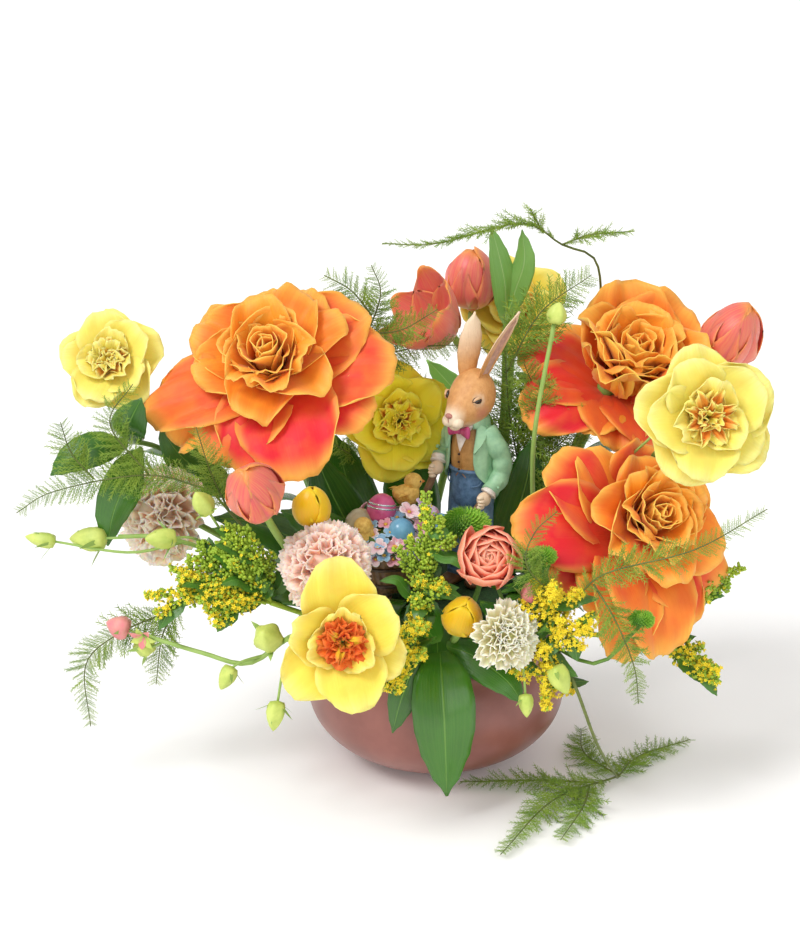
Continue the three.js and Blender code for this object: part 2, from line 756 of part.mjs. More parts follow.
// A stalk in the foam that divides into branches, each a list of points that ends in a bud.
function budSpray({ hole, trunk, branches, radius = 1.8 }) {
  const main = twig([footOf(hole).toArray(), hole, ...trunk], radius, 3, trunk.length + 2);
  const parts = [main.solid];
  for (const { points, length, size, droop = 0 } of branches) {
    const shoot = twig(grownFrom([main.chain], points), 1.1, 3, points.length);
    const end = shoot.curve.getTangent(1).add(new THREE.Vector3(0, 0, -droop)).normalize();
    parts.push(shoot.solid, bud(points.at(-1), end.toArray(), length, size));
  }
  return join(parts);
}

const BUD_SPRAYS = [
  {
    name: "ranunculus_buds",
    hole: mouth(86, 121),
    trunk: [[66, -14, 160], [64, -30, 240], [76, -26, 320]],
    branches: [
      { points: [[76, -26, 316], [77, -26, 322]], length: 13, size: 7.5 },
      { points: [[66, -12, 150], [94, -20, 192], [150, -30, 252], [166, -16, 288]], length: 12, size: 7 },
    ],
  },
  {
    name: "lisianthus_spray_high",
    hole: mouth(-80, 99),
    trunk: [[-120, -40, 150], [-176, -56, 180], [-212, -54, 181]],
    branches: [
      { points: [[-205, -55, 181], [-214, -54, 180], [-222, -52, 179]], length: 25, size: 9.5 },
      { points: [[-170, -55, 177], [-205, -60, 172], [-256, -50, 176]], length: 20, size: 6 },
      { points: [[-140, -47, 163], [-160, -66, 184], [-174, -74, 188]], length: 20, size: 8 },
      { points: [[-120, -40, 150], [-138, -72, 186], [-150, -86, 212]], length: 18, size: 8 },
    ],
  },
  {
    name: "lisianthus_spray_low",
    hole: mouth(-56, 101),
    trunk: [[-92, -84, 124], [-124, -96, 108], [-156, -84, 110], [-196, -64, 114]],
    branches: [
      { points: [[-190, -66, 114], [-200, -63, 115], [-208, -61, 117]], length: 15, size: 9 },
      { points: [[-180, -70, 113], [-190, -64, 106], [-194, -60, 104]], length: 17, size: 8 },
      { points: [[-98, -88, 121], [-106, -104, 126], [-109, -113, 132]], length: 20, size: 11 },
      { points: [[-112, -93, 113], [-128, -102, 112], [-136, -105, 108]], length: 15, size: 6.5, droop: 1.2 },
      { points: [[-92, -84, 124], [-100, -112, 116], [-105, -120, 90]], length: 19, size: 7 },
    ],
  },
  {
    name: "lisianthus_spray_front",
    hole: mouth(29, 104),
    trunk: [[46, -92, 124], [54, -108, 132]],
    branches: [
      { points: [[50, -100, 128], [66, -122, 134], [75, -130, 120]], length: 19, size: 8 },
      { points: [[48, -96, 126], [54, -126, 122], [56, -135, 102]], length: 14, size: 5.5 },
      { points: [[52, -104, 130], [56, -112, 146], [58, -114, 156]], length: 14, size: 6 },
    ],
  },
];
for (const spray of BUD_SPRAYS) piece(spray.name, COLOURS.budGreen, budSpray(spray));

// ---------------------------------------------------------------------------------------------------------
// The blooms
// ---------------------------------------------------------------------------------------------------------

for (const flower of flowers) {
  const { name, kind, where, stem, bloom, frilled } = flower;
  if (frilled) piece(`${name}_cup`, COLOURS.daffodilOrange, daffodilCup(flower), where);
  if (kind.fused) piece(name, kind.colour, join([stem, bloom.transform(where.elements)]));
  else piece(name, kind.colour, bloom, where);
}

// Button chrysanthemums: one spray, its heads on side shoots of one stem.
const BUTTONS = {
  hole: mouth(31, 117),
  fork: [45, -84, 140],
  heads: [
    { at: [18, -80, 199], via: [36, -84, 164], radius: 17, detail: 1 },
    { at: [67, -101, 186], via: [60, -92, 160], radius: 10, detail: 1 },
    { at: [128, -147, 161], via: [98, -128, 122], radius: 9, detail: 1 },
  ],
};

function buttonSpray({ hole, fork, heads }) {
  const parts = [rod(route([footOf(hole).toArray(), hole, fork]), 1.8, 4, 3)];
  for (const { at, via, radius, detail } of heads) {
    parts.push(rod(route([fork, via, at]), 1.3, 3, 2), buttonBloom(radius, detail).translate(at));
  }
  return join(parts);
}
piece("button_spray", COLOURS.buttonGreen, buttonSpray(BUTTONS));

// ---------------------------------------------------------------------------------------------------------
// Goldenrod: a stem that divides into arching plumes, set all round with buds and florets
// ---------------------------------------------------------------------------------------------------------

const FLORET = { proud: 4.6, core: 1.2, pitch: 9, sides: 4 };

// A plume: a slim core whose surface is raised to a floret at every other corner, row by row.
function plume(points, roll) {
  const curve = route(points);
  const rows = Math.round(curve.getLength() / FLORET.pitch);
  const welded = weld(rodGeometry(curve, FLORET.core, FLORET.sides, rows));
  const position = welded.getAttribute("position");
  const rings = curve.getSpacedPoints(rows);
  const corner = new THREE.Vector3();
  for (let i = 0; i < position.count; i++) {
    corner.fromBufferAttribute(position, i);
    const distances = rings.map((centre) => centre.distanceTo(corner));
    const row = distances.indexOf(Math.min(...distances));
    if (row < 2 || row === rows) continue;
    const taper = 1 - (0.5 * row) / rows;
    const proud = roll() < 0.55 ? FLORET.proud * taper * (0.8 + 0.4 * roll()) : 0.3;
    const out = corner.clone().sub(rings[row]).setLength(FLORET.core + proud);
    position.setXYZ(i, ...rings[row].clone().add(out).toArray());
  }
  return solidOf(welded);
}

function goldenrodSpray({ hole, hub, tips }, seed) {
  const roll = dice(seed);
  const parts = [rod(route([footOf(hole).toArray(), hole, hub]), 1.8, 3, 3)];
  for (const tip of tips) {
    const middle = vec(hub).lerp(vec(tip), 0.5).add(new THREE.Vector3(0, 0, 5));
    parts.push(plume([hub, middle.toArray(), tip], roll));
  }
  return join(parts);
}

const GOLDENRODS = [
  {
    name: "goldenrod_left",
    hole: mouth(-48, 107),
    hub: [-110, -84, 146],
    tips: [[-164, -80, 176], [-192, -86, 152], [-150, -104, 146], [-126, -84, 200]],
  },
  {
    name: "goldenrod_centre",
    hole: mouth(-11, 114),
    hub: [-8, -98, 150],
    tips: [[-14, -110, 174], [-8, -92, 226]],
  },
  {
    name: "goldenrod_front",
    hole: mouth(-15, 104),
    hub: [-14, -100, 130],
    tips: [[-12, -132, 148], [-27, -134, 104]],
  },
  {
    name: "goldenrod_right",
    hole: mouth(34, 101),
    hub: [66, -116, 138],
    tips: [[74, -134, 180], [98, -138, 148], [70, -134, 92]],
  },
  {
    name: "goldenrod_far_right",
    hole: mouth(66, 101),
    hub: [132, -44, 104],
    tips: [[204, -50, 158], [188, -80, 94]],
  },
];
GOLDENRODS.forEach((spray, i) => piece(spray.name, COLOURS.goldenrod, goldenrodSpray(spray, 101 + i)));

// ---------------------------------------------------------------------------------------------------------
// Broad leaves
// ---------------------------------------------------------------------------------------------------------

// A leaf along `spine`, with its upper face towards `face`.
function leaf(spine, width, face) {
  const curve = route(spine);
  const place = (s, t) => {
    const point = curve.getPoint(t);
    const side = vec(face).cross(curve.getTangent(t)).normalize();
    const normal = curve.getTangent(t).cross(side).normalize();
    const half = (width / 2) * along(LEAF_OUTLINE, t);
    return point.addScaledVector(side, s * half).addScaledVector(normal, -0.25 * Math.abs(s) * half).toArray();
  };
  return blade(place, LEAF, 2, 3);
}
const LEAF_OUTLINE = [0.05, 0.95, 0.8, 0.03];

// A woody stem in the foam with its leaves: each a spine, which starts on the stem, a width and a face.
function leafyStem({ hole, stem, leaves, radius = 2 }) {
  const main = twig([footOf(hole).toArray(), hole, ...stem], radius, 3, stem.length + 3);
  return join([
    main.solid,
    ...leaves.map(([spine, width, face]) => leaf(grownFrom([main.chain], spine), width, face)),
  ]);
}

const LEAFY_STEMS = [
  {
    name: "ruscus_front",
    hole: mouth(1, 103),
    stem: [[1, -84, 116]],
    leaves: [
      [[[1, -80, 114], [2, -104, 108], [4, -120, 78], [6, -119, 22]], 42, [0, -1, 0.3]],
      [[[1, -80, 114], [-14, -96, 108], [-24, -108, 88], [-30, -106, 62]], 22, [-0.3, -1, 0.3]],
      [[[1, -82, 115], [-8, -96, 134], [-10, -104, 152], [-8, -106, 166]], 26, [0.2, -1, -0.2]],
      [[[1, -82, 115], [22, -92, 112], [44, -104, 100], [56, -108, 84]], 26, [0.3, -1, 0.5]],
    ],
  },
  {
    name: "ruscus_left",
    hole: mouth(-97, 109),
    stem: [[-124, 24, 170], [-184, 6, 220], [-214, -28, 240]],
    leaves: [
      [[[-204, -30, 236], [-206, -42, 250], [-200, -48, 264], [-194, -48, 276]], 26, [-0.3, -1, 0.2]],
      [[[-206, -30, 236], [-224, -42, 240], [-242, -48, 234], [-256, -48, 222]], 24, [0, -1, 0.6]],
      [[[-196, -24, 232], [-208, -48, 214], [-216, -50, 194], [-220, -48, 172]], 28, [0.3, -1, 0.2]],
      [[[-150, 4, 202], [-170, 14, 212], [-190, 28, 214], [-206, 38, 208]], 26, [0, 0.3, 1]],
    ],
  },
  {
    name: "ruscus_back_left",
    hole: mouth(-140, 102),
    stem: [[-84, 84, 150], [-104, 96, 206], [-112, 92, 250]],
    leaves: [
      [[[-60, 64, 124], [-92, 78, 122], [-116, 92, 106], [-130, 100, 84]], 30, [0, 0.4, 1]],
      [[[-84, 84, 150], [-106, 104, 152], [-124, 118, 144], [-138, 126, 128]], 28, [0, 0.5, 1]],
      [[[-98, 92, 184], [-122, 90, 200], [-142, 88, 208], [-160, 84, 208]], 28, [0.2, 0.6, 1]],
      [[[-104, 96, 206], [-92, 112, 226], [-78, 122, 240], [-66, 128, 246]], 26, [0, 1, 0.6]],
      [[[-112, 92, 250], [-116, 90, 266], [-116, 86, 284], [-112, 82, 298]], 26, [0, 1, 0.2]],
      [[[-60, 64, 124], [-52, 92, 130], [-44, 112, 122], [-40, 126, 104]], 28, [0, 0.5, 1]],
    ],
  },
  {
    name: "ruscus_back_right",
    hole: mouth(140, 102),
    stem: [[80, 88, 148], [104, 104, 200], [120, 106, 240]],
    leaves: [
      [[[56, 62, 122], [88, 74, 120], [114, 86, 104], [128, 92, 82]], 30, [0, 0.4, 1]],
      [[[80, 88, 148], [92, 112, 152], [102, 128, 144], [108, 138, 128]], 28, [0, 0.5, 1]],
      [[[94, 98, 178], [118, 98, 192], [138, 94, 198], [156, 88, 196]], 28, [0.2, 0.6, 1]],
      [[[104, 104, 200], [88, 118, 218], [72, 126, 230], [58, 130, 236]], 26, [0, 1, 0.6]],
      [[[120, 106, 240], [126, 104, 256], [128, 100, 272], [126, 96, 286]], 26, [0, 1, 0.2]],
      [[[56, 62, 122], [34, 88, 130], [20, 106, 122], [12, 118, 104]], 28, [0, 0.5, 1]],
    ],
  },
  {
    name: "tulip_leaves",
    hole: mouth(158, 104),
    stem: [[46, 84, 200], [48, 62, 296]],
    radius: 2.2,
    leaves: [
      [[[48, 62, 290], [47, 58, 320], [43, 56, 342], [37, 56, 364]], 17, [0.2, -1, 0]],
      [[[48, 62, 294], [54, 58, 318], [60, 56, 340], [58, 56, 362]], 17, [-0.3, -1, 0]],
      [[[46, 84, 190], [24, 100, 220], [6, 108, 240], [-6, 110, 252]], 26, [0, 1, 0.4]],
    ],
  },
];
for (const greens of LEAFY_STEMS) piece(greens.name, COLOURS.leafGreen, leafyStem(greens));

// ---------------------------------------------------------------------------------------------------------
// Asparagus fern: wiry stems that zigzag, with flat sprays of short needles on both sides of them
// ---------------------------------------------------------------------------------------------------------

// A flat net of triangles given a thickness: `place(corner, side)` puts a corner on the upper face, side 1, or
// on the lower one, side -1, and a wall closes each edge of the net.
function thickened(corners, triangles, place) {
  const lower = corners.length;
  const edges = triangles.flatMap(([a, b, c]) => [[a, b], [b, c], [c, a]]);
  const known = new Set(edges.map(([a, b]) => `${a} ${b}`));
  const walls = edges
    .filter(([a, b]) => !known.has(`${b} ${a}`))
    .flatMap(([a, b]) => [[b, a, a + lower], [b, a + lower, b + lower]]);
  const faces = [...triangles, ...triangles.map(([a, b, c]) => [c + lower, b + lower, a + lower]), ...walls];
  const positions = [1, -1].flatMap((side) => corners.flatMap((corner) => place(corner, side)));
  const geometry = new THREE.BufferGeometry();
  geometry.setAttribute("position", new THREE.BufferAttribute(Float32Array.from(positions), 3));
  return solidOf(geometry.setIndex(faces.flat()));
}

// A frond: a slim core along a curve, and a pair of needles from each short stretch of it. It is one thin
// sheet that bends with the curve; `face` looks at it, and its needles stand out to either side by turns.
function frond(curve, face, reach) {
  const { thickness, core, base, bare } = NEEDLE;
  const length = curve.getLength();
  const pairs = Math.max(3, Math.round((length - bare) / NEEDLE.pitch));
  const pitch = (length - bare) / (pairs + 0.3);
  const roots = Array.from({ length: pairs }, (_, i) => bare + pitch * i);
  const stations = [0, ...roots.flatMap((root) => [root, root + base]), length];
  const corners = stations.flatMap((at) => [[at, -core, 0], [at, core, 0]]);
  const triangles = stations.slice(1).flatMap((_, k) => [[2 * k, 2 * k + 2, 2 * k + 3], [2 * k, 2 * k + 3, 2 * k + 1]]);
  roots.forEach((root, i) => {
    const tip = corners.length;
    const span = reach * (1 - (0.6 * i) / pairs);
    const stand = (i % 2 ? 0.4 : -0.4) * span;
    const first = 2 * (1 + 2 * i);
    corners.push([root + pitch * 0.7, -span, stand], [root + pitch * 0.7, span, -stand]);
    triangles.push([first, tip, first + 2], [first + 1, first + 3, tip + 1]);
  });
  return thickened(corners, triangles, ([at, off, stand], side) => {
    const t = Math.min(at / length, 1);
    const tangent = curve.getTangentAt(t);
    const across = vec(face).cross(tangent).normalize();
    const normal = tangent.clone().cross(across);
    return curve
      .getPointAt(t)
      .addScaledVector(across, off)
      .addScaledVector(normal, stand + (side * thickness) / 2)
      .toArray();
  });
}

// A wiry stem in the foam, its bare shoots, and its fronds: each shoot a list of points that starts on the
// stem, and each frond one that starts on the stem, a shoot or another frond.
function fern({ hole, stem, shoots = [], fronds, face, reach }) {
  const main = twig([footOf(hole).toArray(), hole, ...stem], 1.5, 3, stem.length + 3);
  const bare = shoots.map((points) => twig(grownFrom([main.chain], points), 1.2, 3, points.length));
  const parts = [main, ...bare].map(({ solid }) => solid);
  const chains = [main, ...bare].map(({ chain }) => chain);
  for (const points of fronds) {
    const [start, ...rest] = grownFrom(chains, points);
    const curve = route([start, ...rest]);
    chains.push(curve.getSpacedPoints(20));
    parts.push(frond(curve, face, reach));
  }
  return join(parts);
}

const FERNS = [
  {
    name: "fern_top",
    hole: mouth(134, 108),
    stem: [[96, 84, 180], [112, 80, 270], [110, 55, 337], [85, 50, 353]],
    face: [0.1, 0.1, 1],
    reach: 12,
    fronds: [
      [[86, 50, 352], [57, 49, 368], [0, 42, 356], [-37, 38, 357]],
      [[84, 50, 353], [104, 42, 362], [133, 40, 365]],
      [[73, 50, 361], [66, 50, 372], [63, 48, 379]],
    ],
  },
  {
    name: "fern_back",
    hole: mouth(172, 108),
    stem: [[-20, 92, 170], [-52, 78, 250], [-48, 34, 292]],
    face: [0.1, -1, 0.45],
    reach: 14,
    fronds: [
      [[-48, 34, 292], [-38, 8, 330], [-44, 2, 352]],
      [[-44, 20, 312], [-58, 18, 330], [-76, 20, 340]],
      [[-47, 30, 296], [-24, 6, 306], [0, 0, 322]],
    ],
  },
  {
    name: "fern_behind_rabbit",
    hole: mouth(104, 122),
    stem: [[60, 22, 160], [56, 26, 220]],
    face: [0, -1, 0.4],
    reach: 15,
    fronds: [
      [[58, 24, 196], [50, 28, 240], [46, 26, 290]],
      [[58, 22, 206], [70, 4, 240], [68, -6, 276]],
      [[48, 27, 270], [70, 26, 312], [104, 28, 338]],
    ],
  },
  {
    name: "fern_left",
    hole: mouth(-66, 108),
    stem: [[-104, -60, 160], [-150, -54, 214]],
    shoots: [[[-92, -58, 142], [-136, -48, 140], [-176, -42, 124]]],
    face: [0, -1, 0.4],
    reach: 14,
    fronds: [
      [[-150, -54, 214], [-192, -58, 226], [-252, -62, 216], [-278, -60, 200]],
      [[-226, -60, 224], [-240, -60, 242], [-246, -62, 264]],
      [[-190, -58, 226], [-214, -60, 262], [-198, -62, 290]],
      [[-138, -56, 200], [-148, -72, 232], [-156, -84, 268]],
      [[-176, -42, 124], [-214, -46, 108], [-238, -50, 86], [-236, -54, 42]],
      [[-172, -42, 126], [-186, -38, 104], [-192, -38, 66]],
    ],
  },
  {
    name: "fern_right",
    hole: mouth(50, 114),
    stem: [[72, -92, 142], [88, -124, 166]],
    face: [-0.2, -1, 0.6],
    reach: 11,
    fronds: [
      [[88, -124, 166], [106, -140, 190], [160, -150, 210], [205, -142, 234]],
      [[98, -134, 180], [112, -150, 160], [124, -152, 130], [128, -146, 102]],
      [[82, -112, 156], [56, -130, 190], [60, -128, 212], [75, -122, 225]],
    ],
  },
  {
    name: "fern_on_table",
    hole: mouth(43, 103),
    stem: [[76, -106, 122], [88, -132, 108], [104, -122, 62], [124, -58, 5]],
    face: [0, 0, 1],
    reach: 12,
    fronds: [
      [[124, -58, 5], [142, -24, 5], [180, 2, 5]],
      [[124, -56, 5], [78, -92, 5], [40, -168, 5]],
      [[104, -70, 5], [98, -100, 5], [80, -148, 5]],
      [[114, -66, 5], [70, -62, 5], [16, -64, 5]],
      [[126, -56, 5], [104, -20, 5], [104, 20, 5]],
    ],
  },
];
for (const greens of FERNS) piece(greens.name, COLOURS.fernGreen, fern(greens));

// ---------------------------------------------------------------------------------------------------------
// Floral foam: pressed into the bowl, carved to a low dome above it, and pierced by every stem
// ---------------------------------------------------------------------------------------------------------

function foam() {
  const { top, topRadius, shoulderRadius, clearance, chamfer, sides } = FOAM;
  const inside = bowlSide(BOWL.wall + clearance).filter(([, z]) => z < BOWL.height - 2);
  return turned(
    [
      [0, BOWL.floor + GAP],
      [inside[0][0], BOWL.floor + GAP],
      ...inside.slice(1),
      [shoulderRadius, BOWL.height + 2],
      [topRadius, top - chamfer],
      [topRadius - chamfer, top],
      [0, top],
    ],
    sides,
  );
}
piece("floral_foam", COLOURS.foam, foam());

// ---------------------------------------------------------------------------------------------------------
// Finishing: each piece makes room for the earlier ones, then everything becomes one group
// ---------------------------------------------------------------------------------------------------------

const near = (a, b) => [0, 1, 2].every((k) => a.min[k] < b.max[k] + 1 && b.min[k] < a.max[k] + 1);
const settled = [];

export default pieces.reduce((arrangement, { name, material, solid, seat: where }) => {
  let world = solid.transform(where.elements);
  const box = world.boundingBox();
  for (const { cutter } of settled.filter((other) => near(other.box, box))) world = world.subtract(cutter);
  world = world
    .simplify(SLACK)
    .decompose()
    .reduce((most, body) => (body.volume() > most.volume() ? body : most));
  settled.push({ box: world.boundingBox(), cutter: grown(world, GAP) });
  const own = world.transform(where.clone().invert().elements);
  const mesh = new THREE.Mesh(geometryOf(own), material);
  mesh.name = name;
  mesh.applyMatrix4(where);
  return arrangement.add(mesh);
}, new THREE.Group());
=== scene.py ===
"""A spring flower arrangement in a round stoneware bowl, dressed for its picture.

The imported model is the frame. The lengths of the pieces are in millimetres, and each piece is
brought to metres when it is set in the scene; those of the studio and of patterns are in metres.
"""

import random
from math import cos, pi, radians, sin, sqrt

import bmesh
import bpy
from mathutils import Matrix, Vector


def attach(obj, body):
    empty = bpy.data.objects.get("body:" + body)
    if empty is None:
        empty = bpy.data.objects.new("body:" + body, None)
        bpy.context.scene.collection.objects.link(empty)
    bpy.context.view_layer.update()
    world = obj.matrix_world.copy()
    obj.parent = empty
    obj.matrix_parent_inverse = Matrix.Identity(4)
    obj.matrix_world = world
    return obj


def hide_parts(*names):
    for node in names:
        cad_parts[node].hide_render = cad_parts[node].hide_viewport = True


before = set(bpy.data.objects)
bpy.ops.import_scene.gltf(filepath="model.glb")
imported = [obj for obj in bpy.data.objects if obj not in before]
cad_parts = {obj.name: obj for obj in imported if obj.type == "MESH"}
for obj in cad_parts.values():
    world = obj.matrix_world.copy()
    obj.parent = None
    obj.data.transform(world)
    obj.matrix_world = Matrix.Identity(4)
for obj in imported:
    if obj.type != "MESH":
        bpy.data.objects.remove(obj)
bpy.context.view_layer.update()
scene = bpy.context.scene


# ----------
# Studio: a white sweep of paper under soft window light from the upper left, with a white room
# around it. The camera looks down on the bowl by twenty degrees, from the front.
# ----------
MM = 0.001
LOOK_AT = Vector((-0.025, 0.0, 0.208))
CAMERA_DISTANCE = 1.8
CAMERA_RISE = radians(20)


def ink(code):
    """A colour as it is seen on paper, six hex digits, as the light a shader works with."""
    values = [int(code[i : i + 2], 16) / 255 for i in (0, 2, 4)]
    return (*[v / 12.92 if v <= 0.04045 else ((v + 0.055) / 1.055) ** 2.4 for v in values], 1.0)


def wire(tree, kind, inputs=(), **settings):
    """A new shader node; an input takes a plain value or another node's output."""
    node = tree.nodes.new(f"ShaderNode{kind}")
    for name, value in settings.items():
        setattr(node, name, value)
    for socket, value in dict(inputs).items():
        if isinstance(value, bpy.types.NodeSocket):
            tree.links.new(value, node.inputs[socket])
        else:
            node.inputs[socket].default_value = value
    return node


def finish(name, colour, roughness, **sockets):
    """A material with its shader, whose plain values are set on the shader's own sockets."""
    material = bpy.data.materials.new(name)
    material.use_nodes = True
    shader = material.node_tree.nodes["Principled BSDF"]
    shader.inputs["Base Color"].default_value = ink(colour)
    shader.inputs["Roughness"].default_value = roughness
    for socket, value in sockets.items():
        shader.inputs[socket.replace("_", " ").title().replace("Ior", "IOR")].default_value = value
    return material


def studio():
    camera = bpy.data.objects.new("camera", bpy.data.cameras.new("camera"))
    scene.collection.objects.link(camera)
    camera.data.lens = 101.3
    camera.data.sensor_width = 36.0
    camera.data.clip_end = 30.0
    back = Vector((0.0, -cos(CAMERA_RISE), sin(CAMERA_RISE)))
    camera.location = LOOK_AT + back * CAMERA_DISTANCE
    camera.rotation_euler = back.to_track_quat("Z", "Y").to_euler()
    scene.camera = camera

    paper = bmesh.new()
    bmesh.ops.create_grid(paper, x_segments=1, y_segments=1, size=9.0)
    mesh = bpy.data.meshes.new("paper_sweep")
    paper.to_mesh(mesh)
    floor = bpy.data.objects.new("paper_sweep", mesh)
    scene.collection.objects.link(floor)
    mesh.materials.append(
        finish("white_paper", "fdfdfd", 0.9, emission_color=ink("ffffff"), emission_strength=0.04)
    )

    lamps = (
        # name, kind, place, size, strength
        ("window_light", "SUN", (-1.5, -1.1, 2.4), 0.45, 1.85),
        ("front_panel", "AREA", (0.9, -2.4, 1.2), 1.8, 10.0),
    )
    for name, kind, place, size, strength in lamps:
        lamp = bpy.data.objects.new(name, bpy.data.lights.new(name, kind))
        setattr(lamp.data, "angle" if kind == "SUN" else "size", size)
        lamp.data.energy = strength
        lamp.location = place
        lamp.rotation_euler = (Vector(place) - Vector((0, 0, 0.15))).to_track_quat("Z", "Y").to_euler()
        scene.collection.objects.link(lamp)

    room = bpy.data.worlds.new("white_room")
    room.use_nodes = True
    room.node_tree.nodes["Background"].inputs["Color"].default_value = (1.0, 0.99, 0.98, 1.0)
    room.node_tree.nodes["Background"].inputs["Strength"].default_value = 0.74
    scene.world = room
    scene.view_settings.view_transform = "Standard"
    scene.view_settings.look = "None"


studio()


def settle(bm, name, materials, node, thickness=0.0, upper=0):
    """Brings a finished mesh to metres and sets it in the scene in place of its solid.

    A thin piece is given its thickness here; `upper` is how many materials further on its upper
    side's material stands.
    """
    bmesh.ops.scale(bm, vec=(MM, MM, MM), verts=bm.verts)
    mesh = bpy.data.meshes.new(name)
    bm.to_mesh(mesh)
    bm.free()
    for material in materials:
        mesh.materials.append(material)
    piece = bpy.data.objects.new(name, mesh)
    scene.collection.objects.link(piece)
    if thickness:
        shell = piece.modifiers.new("thickness", "SOLIDIFY")
        shell.thickness = thickness * MM
        shell.offset = 0.0
        shell.material_offset = upper
    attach(piece, "root")
    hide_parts(node)
    return piece


# ----------
# Bowl: thrown stoneware with a satin dusty rose glaze, its belly rounding in under itself to a
# small foot. The glaze is a little cloudy and breaks lighter over the rim.
# ----------
BOWL_HEIGHT = 88.0
BOWL_OUTSIDE = ((40.0, 0.0), (68.4, 14.1), (84.6, 31.7), (90.0, 52.8), (87.8, 70.4), (81.0, 86.0))
BOWL_WALL = 5.0
BOWL_FLOOR = 7.0


def spline(points, count):
    """`count` places evenly spread along a smooth line through the points."""
    knots = [Vector(p) for p in points]
    knots = [2 * knots[0] - knots[1], *knots, 2 * knots[-1] - knots[-2]]
    fine = []
    for a, b, c, d in zip(knots, knots[1:], knots[2:], knots[3:]):
        for k in range(16):
            u = k / 16
            curve = 2 * b + (c - a) * u + (2 * a - 5 * b + 4 * c - d) * u**2
            fine.append(0.5 * (curve + (3 * b - a - 3 * c + d) * u**3))
    fine.append(knots[-2])
    reach = [0.0]
    for a, b in zip(fine, fine[1:]):
        reach.append(reach[-1] + (b - a).length)
    places = []
    at = 0
    for k in range(count):
        want = reach[-1] * k / (count - 1)
        while at < len(fine) - 2 and reach[at + 1] < want:
            at += 1
        span = max(reach[at + 1] - reach[at], 1e-9)
        places.append(fine[at].lerp(fine[at + 1], (want - reach[at]) / span))
    return places


def spin_round(bm, profile, steps):
    """Spins a line of (radius, height) pairs into a closed form of revolution."""
    row = [bm.verts.new((r, 0.0, z)) for r, z in profile]
    edges = [bm.edges.new(pair) for pair in zip(row, row[1:])]
    bmesh.ops.spin(
        bm, geom=row + edges, cent=(0, 0, 0), axis=(0, 0, 1), angle=2 * pi, steps=steps, use_merge=True,
    )
    bmesh.ops.remove_doubles(bm, verts=bm.verts, dist=1e-4)
    bmesh.ops.recalc_face_normals(bm, faces=bm.faces)
    for face in bm.faces:
        face.smooth = True


def blend(tree, share, under, over):
    """One colour laid over another by a share."""
    return wire(tree, "Mix", {0: share, 6: under, 7: over}, data_type="RGBA").outputs[2]


def reckon(tree, how, first, second, **settings):
    """Two values brought to one, by ADD, MULTIPLY and the like."""
    return wire(tree, "Math", {0: first, 1: second}, operation=how, **settings).outputs[0]


def ramp(tree, value, start, end, low=0.0, high=1.0, kind="LINEAR"):
    """A value between start and end brought to between low and high."""
    inputs = {"Value": value, "From Min": start, "From Max": end, "To Min": low, "To Max": high}
    return wire(tree, "MapRange", inputs, interpolation_type=kind).outputs["Result"]


def coat(material, colour, height, strength, depth):
    """Lays a colour on a material's shader, with a bump from a height, its depth in metres."""
    tree = material.node_tree
    shader = tree.nodes["Principled BSDF"]
    bump = wire(tree, "Bump", {"Height": height, "Strength": strength, "Distance": depth})
    tree.links.new(colour, shader.inputs["Base Color"])
    tree.links.new(bump.outputs["Normal"], shader.inputs["Normal"])


def open_group(name, colours, values):
    """A node group that takes these colours and values, and gives a colour and a height."""
    tree = bpy.data.node_groups.new(name, "ShaderNodeTree")
    for way, kind, sockets in (
        ("INPUT", "Color", colours), ("INPUT", "Float", values), ("OUTPUT", "Color", ("Colour",)),
        ("OUTPUT", "Float", ("Height",)),
    ):
        for socket in sockets:
            tree.interface.new_socket(socket, in_out=way, socket_type=f"NodeSocket{kind}")
    return tree, tree.nodes.new("NodeGroupInput").outputs


def close_group(tree, colour, height):
    out = tree.nodes.new("NodeGroupOutput")
    tree.links.new(colour, out.inputs["Colour"])
    tree.links.new(height, out.inputs["Height"])
    return tree


def mottle_group():
    """Cloudy change between two colours, with a matching height for a bump."""
    tree, given = open_group("mottle", ("Colour", "Shade"), ("Scale", "Detail", "Amount"))
    place = wire(tree, "TexCoord").outputs["Object"]
    inputs = {"Vector": place, "Scale": given["Scale"], "Detail": given["Detail"], "Roughness": 0.6}
    cloud = wire(tree, "TexNoise", inputs).outputs["Fac"]
    part = reckon(tree, "MULTIPLY", ramp(tree, cloud, 0.35, 0.68), given["Amount"])
    return close_group(tree, blend(tree, part, given["Colour"], given["Shade"]), cloud)


MOTTLE = mottle_group()


def placed(material, group, values):
    """A group's node in a material; a value in hex digits is a colour. Returns what it gives."""
    node = material.node_tree.nodes.new("ShaderNodeGroup")
    node.node_tree = group
    for socket, value in values.items():
        node.inputs[socket].default_value = ink(value) if isinstance(value, str) else value
    return node.outputs


def mottled(material, colour, shade, scale, detail, amount, bump, depth):
    """Gives a material the cloudy change of colour, and a bump of the given depth in metres."""
    values = {"Colour": colour, "Shade": shade, "Scale": scale, "Detail": detail, "Amount": amount}
    cloud = placed(material, MOTTLE, values)
    coat(material, cloud["Colour"], cloud["Height"], bump, depth)
    return cloud["Colour"]


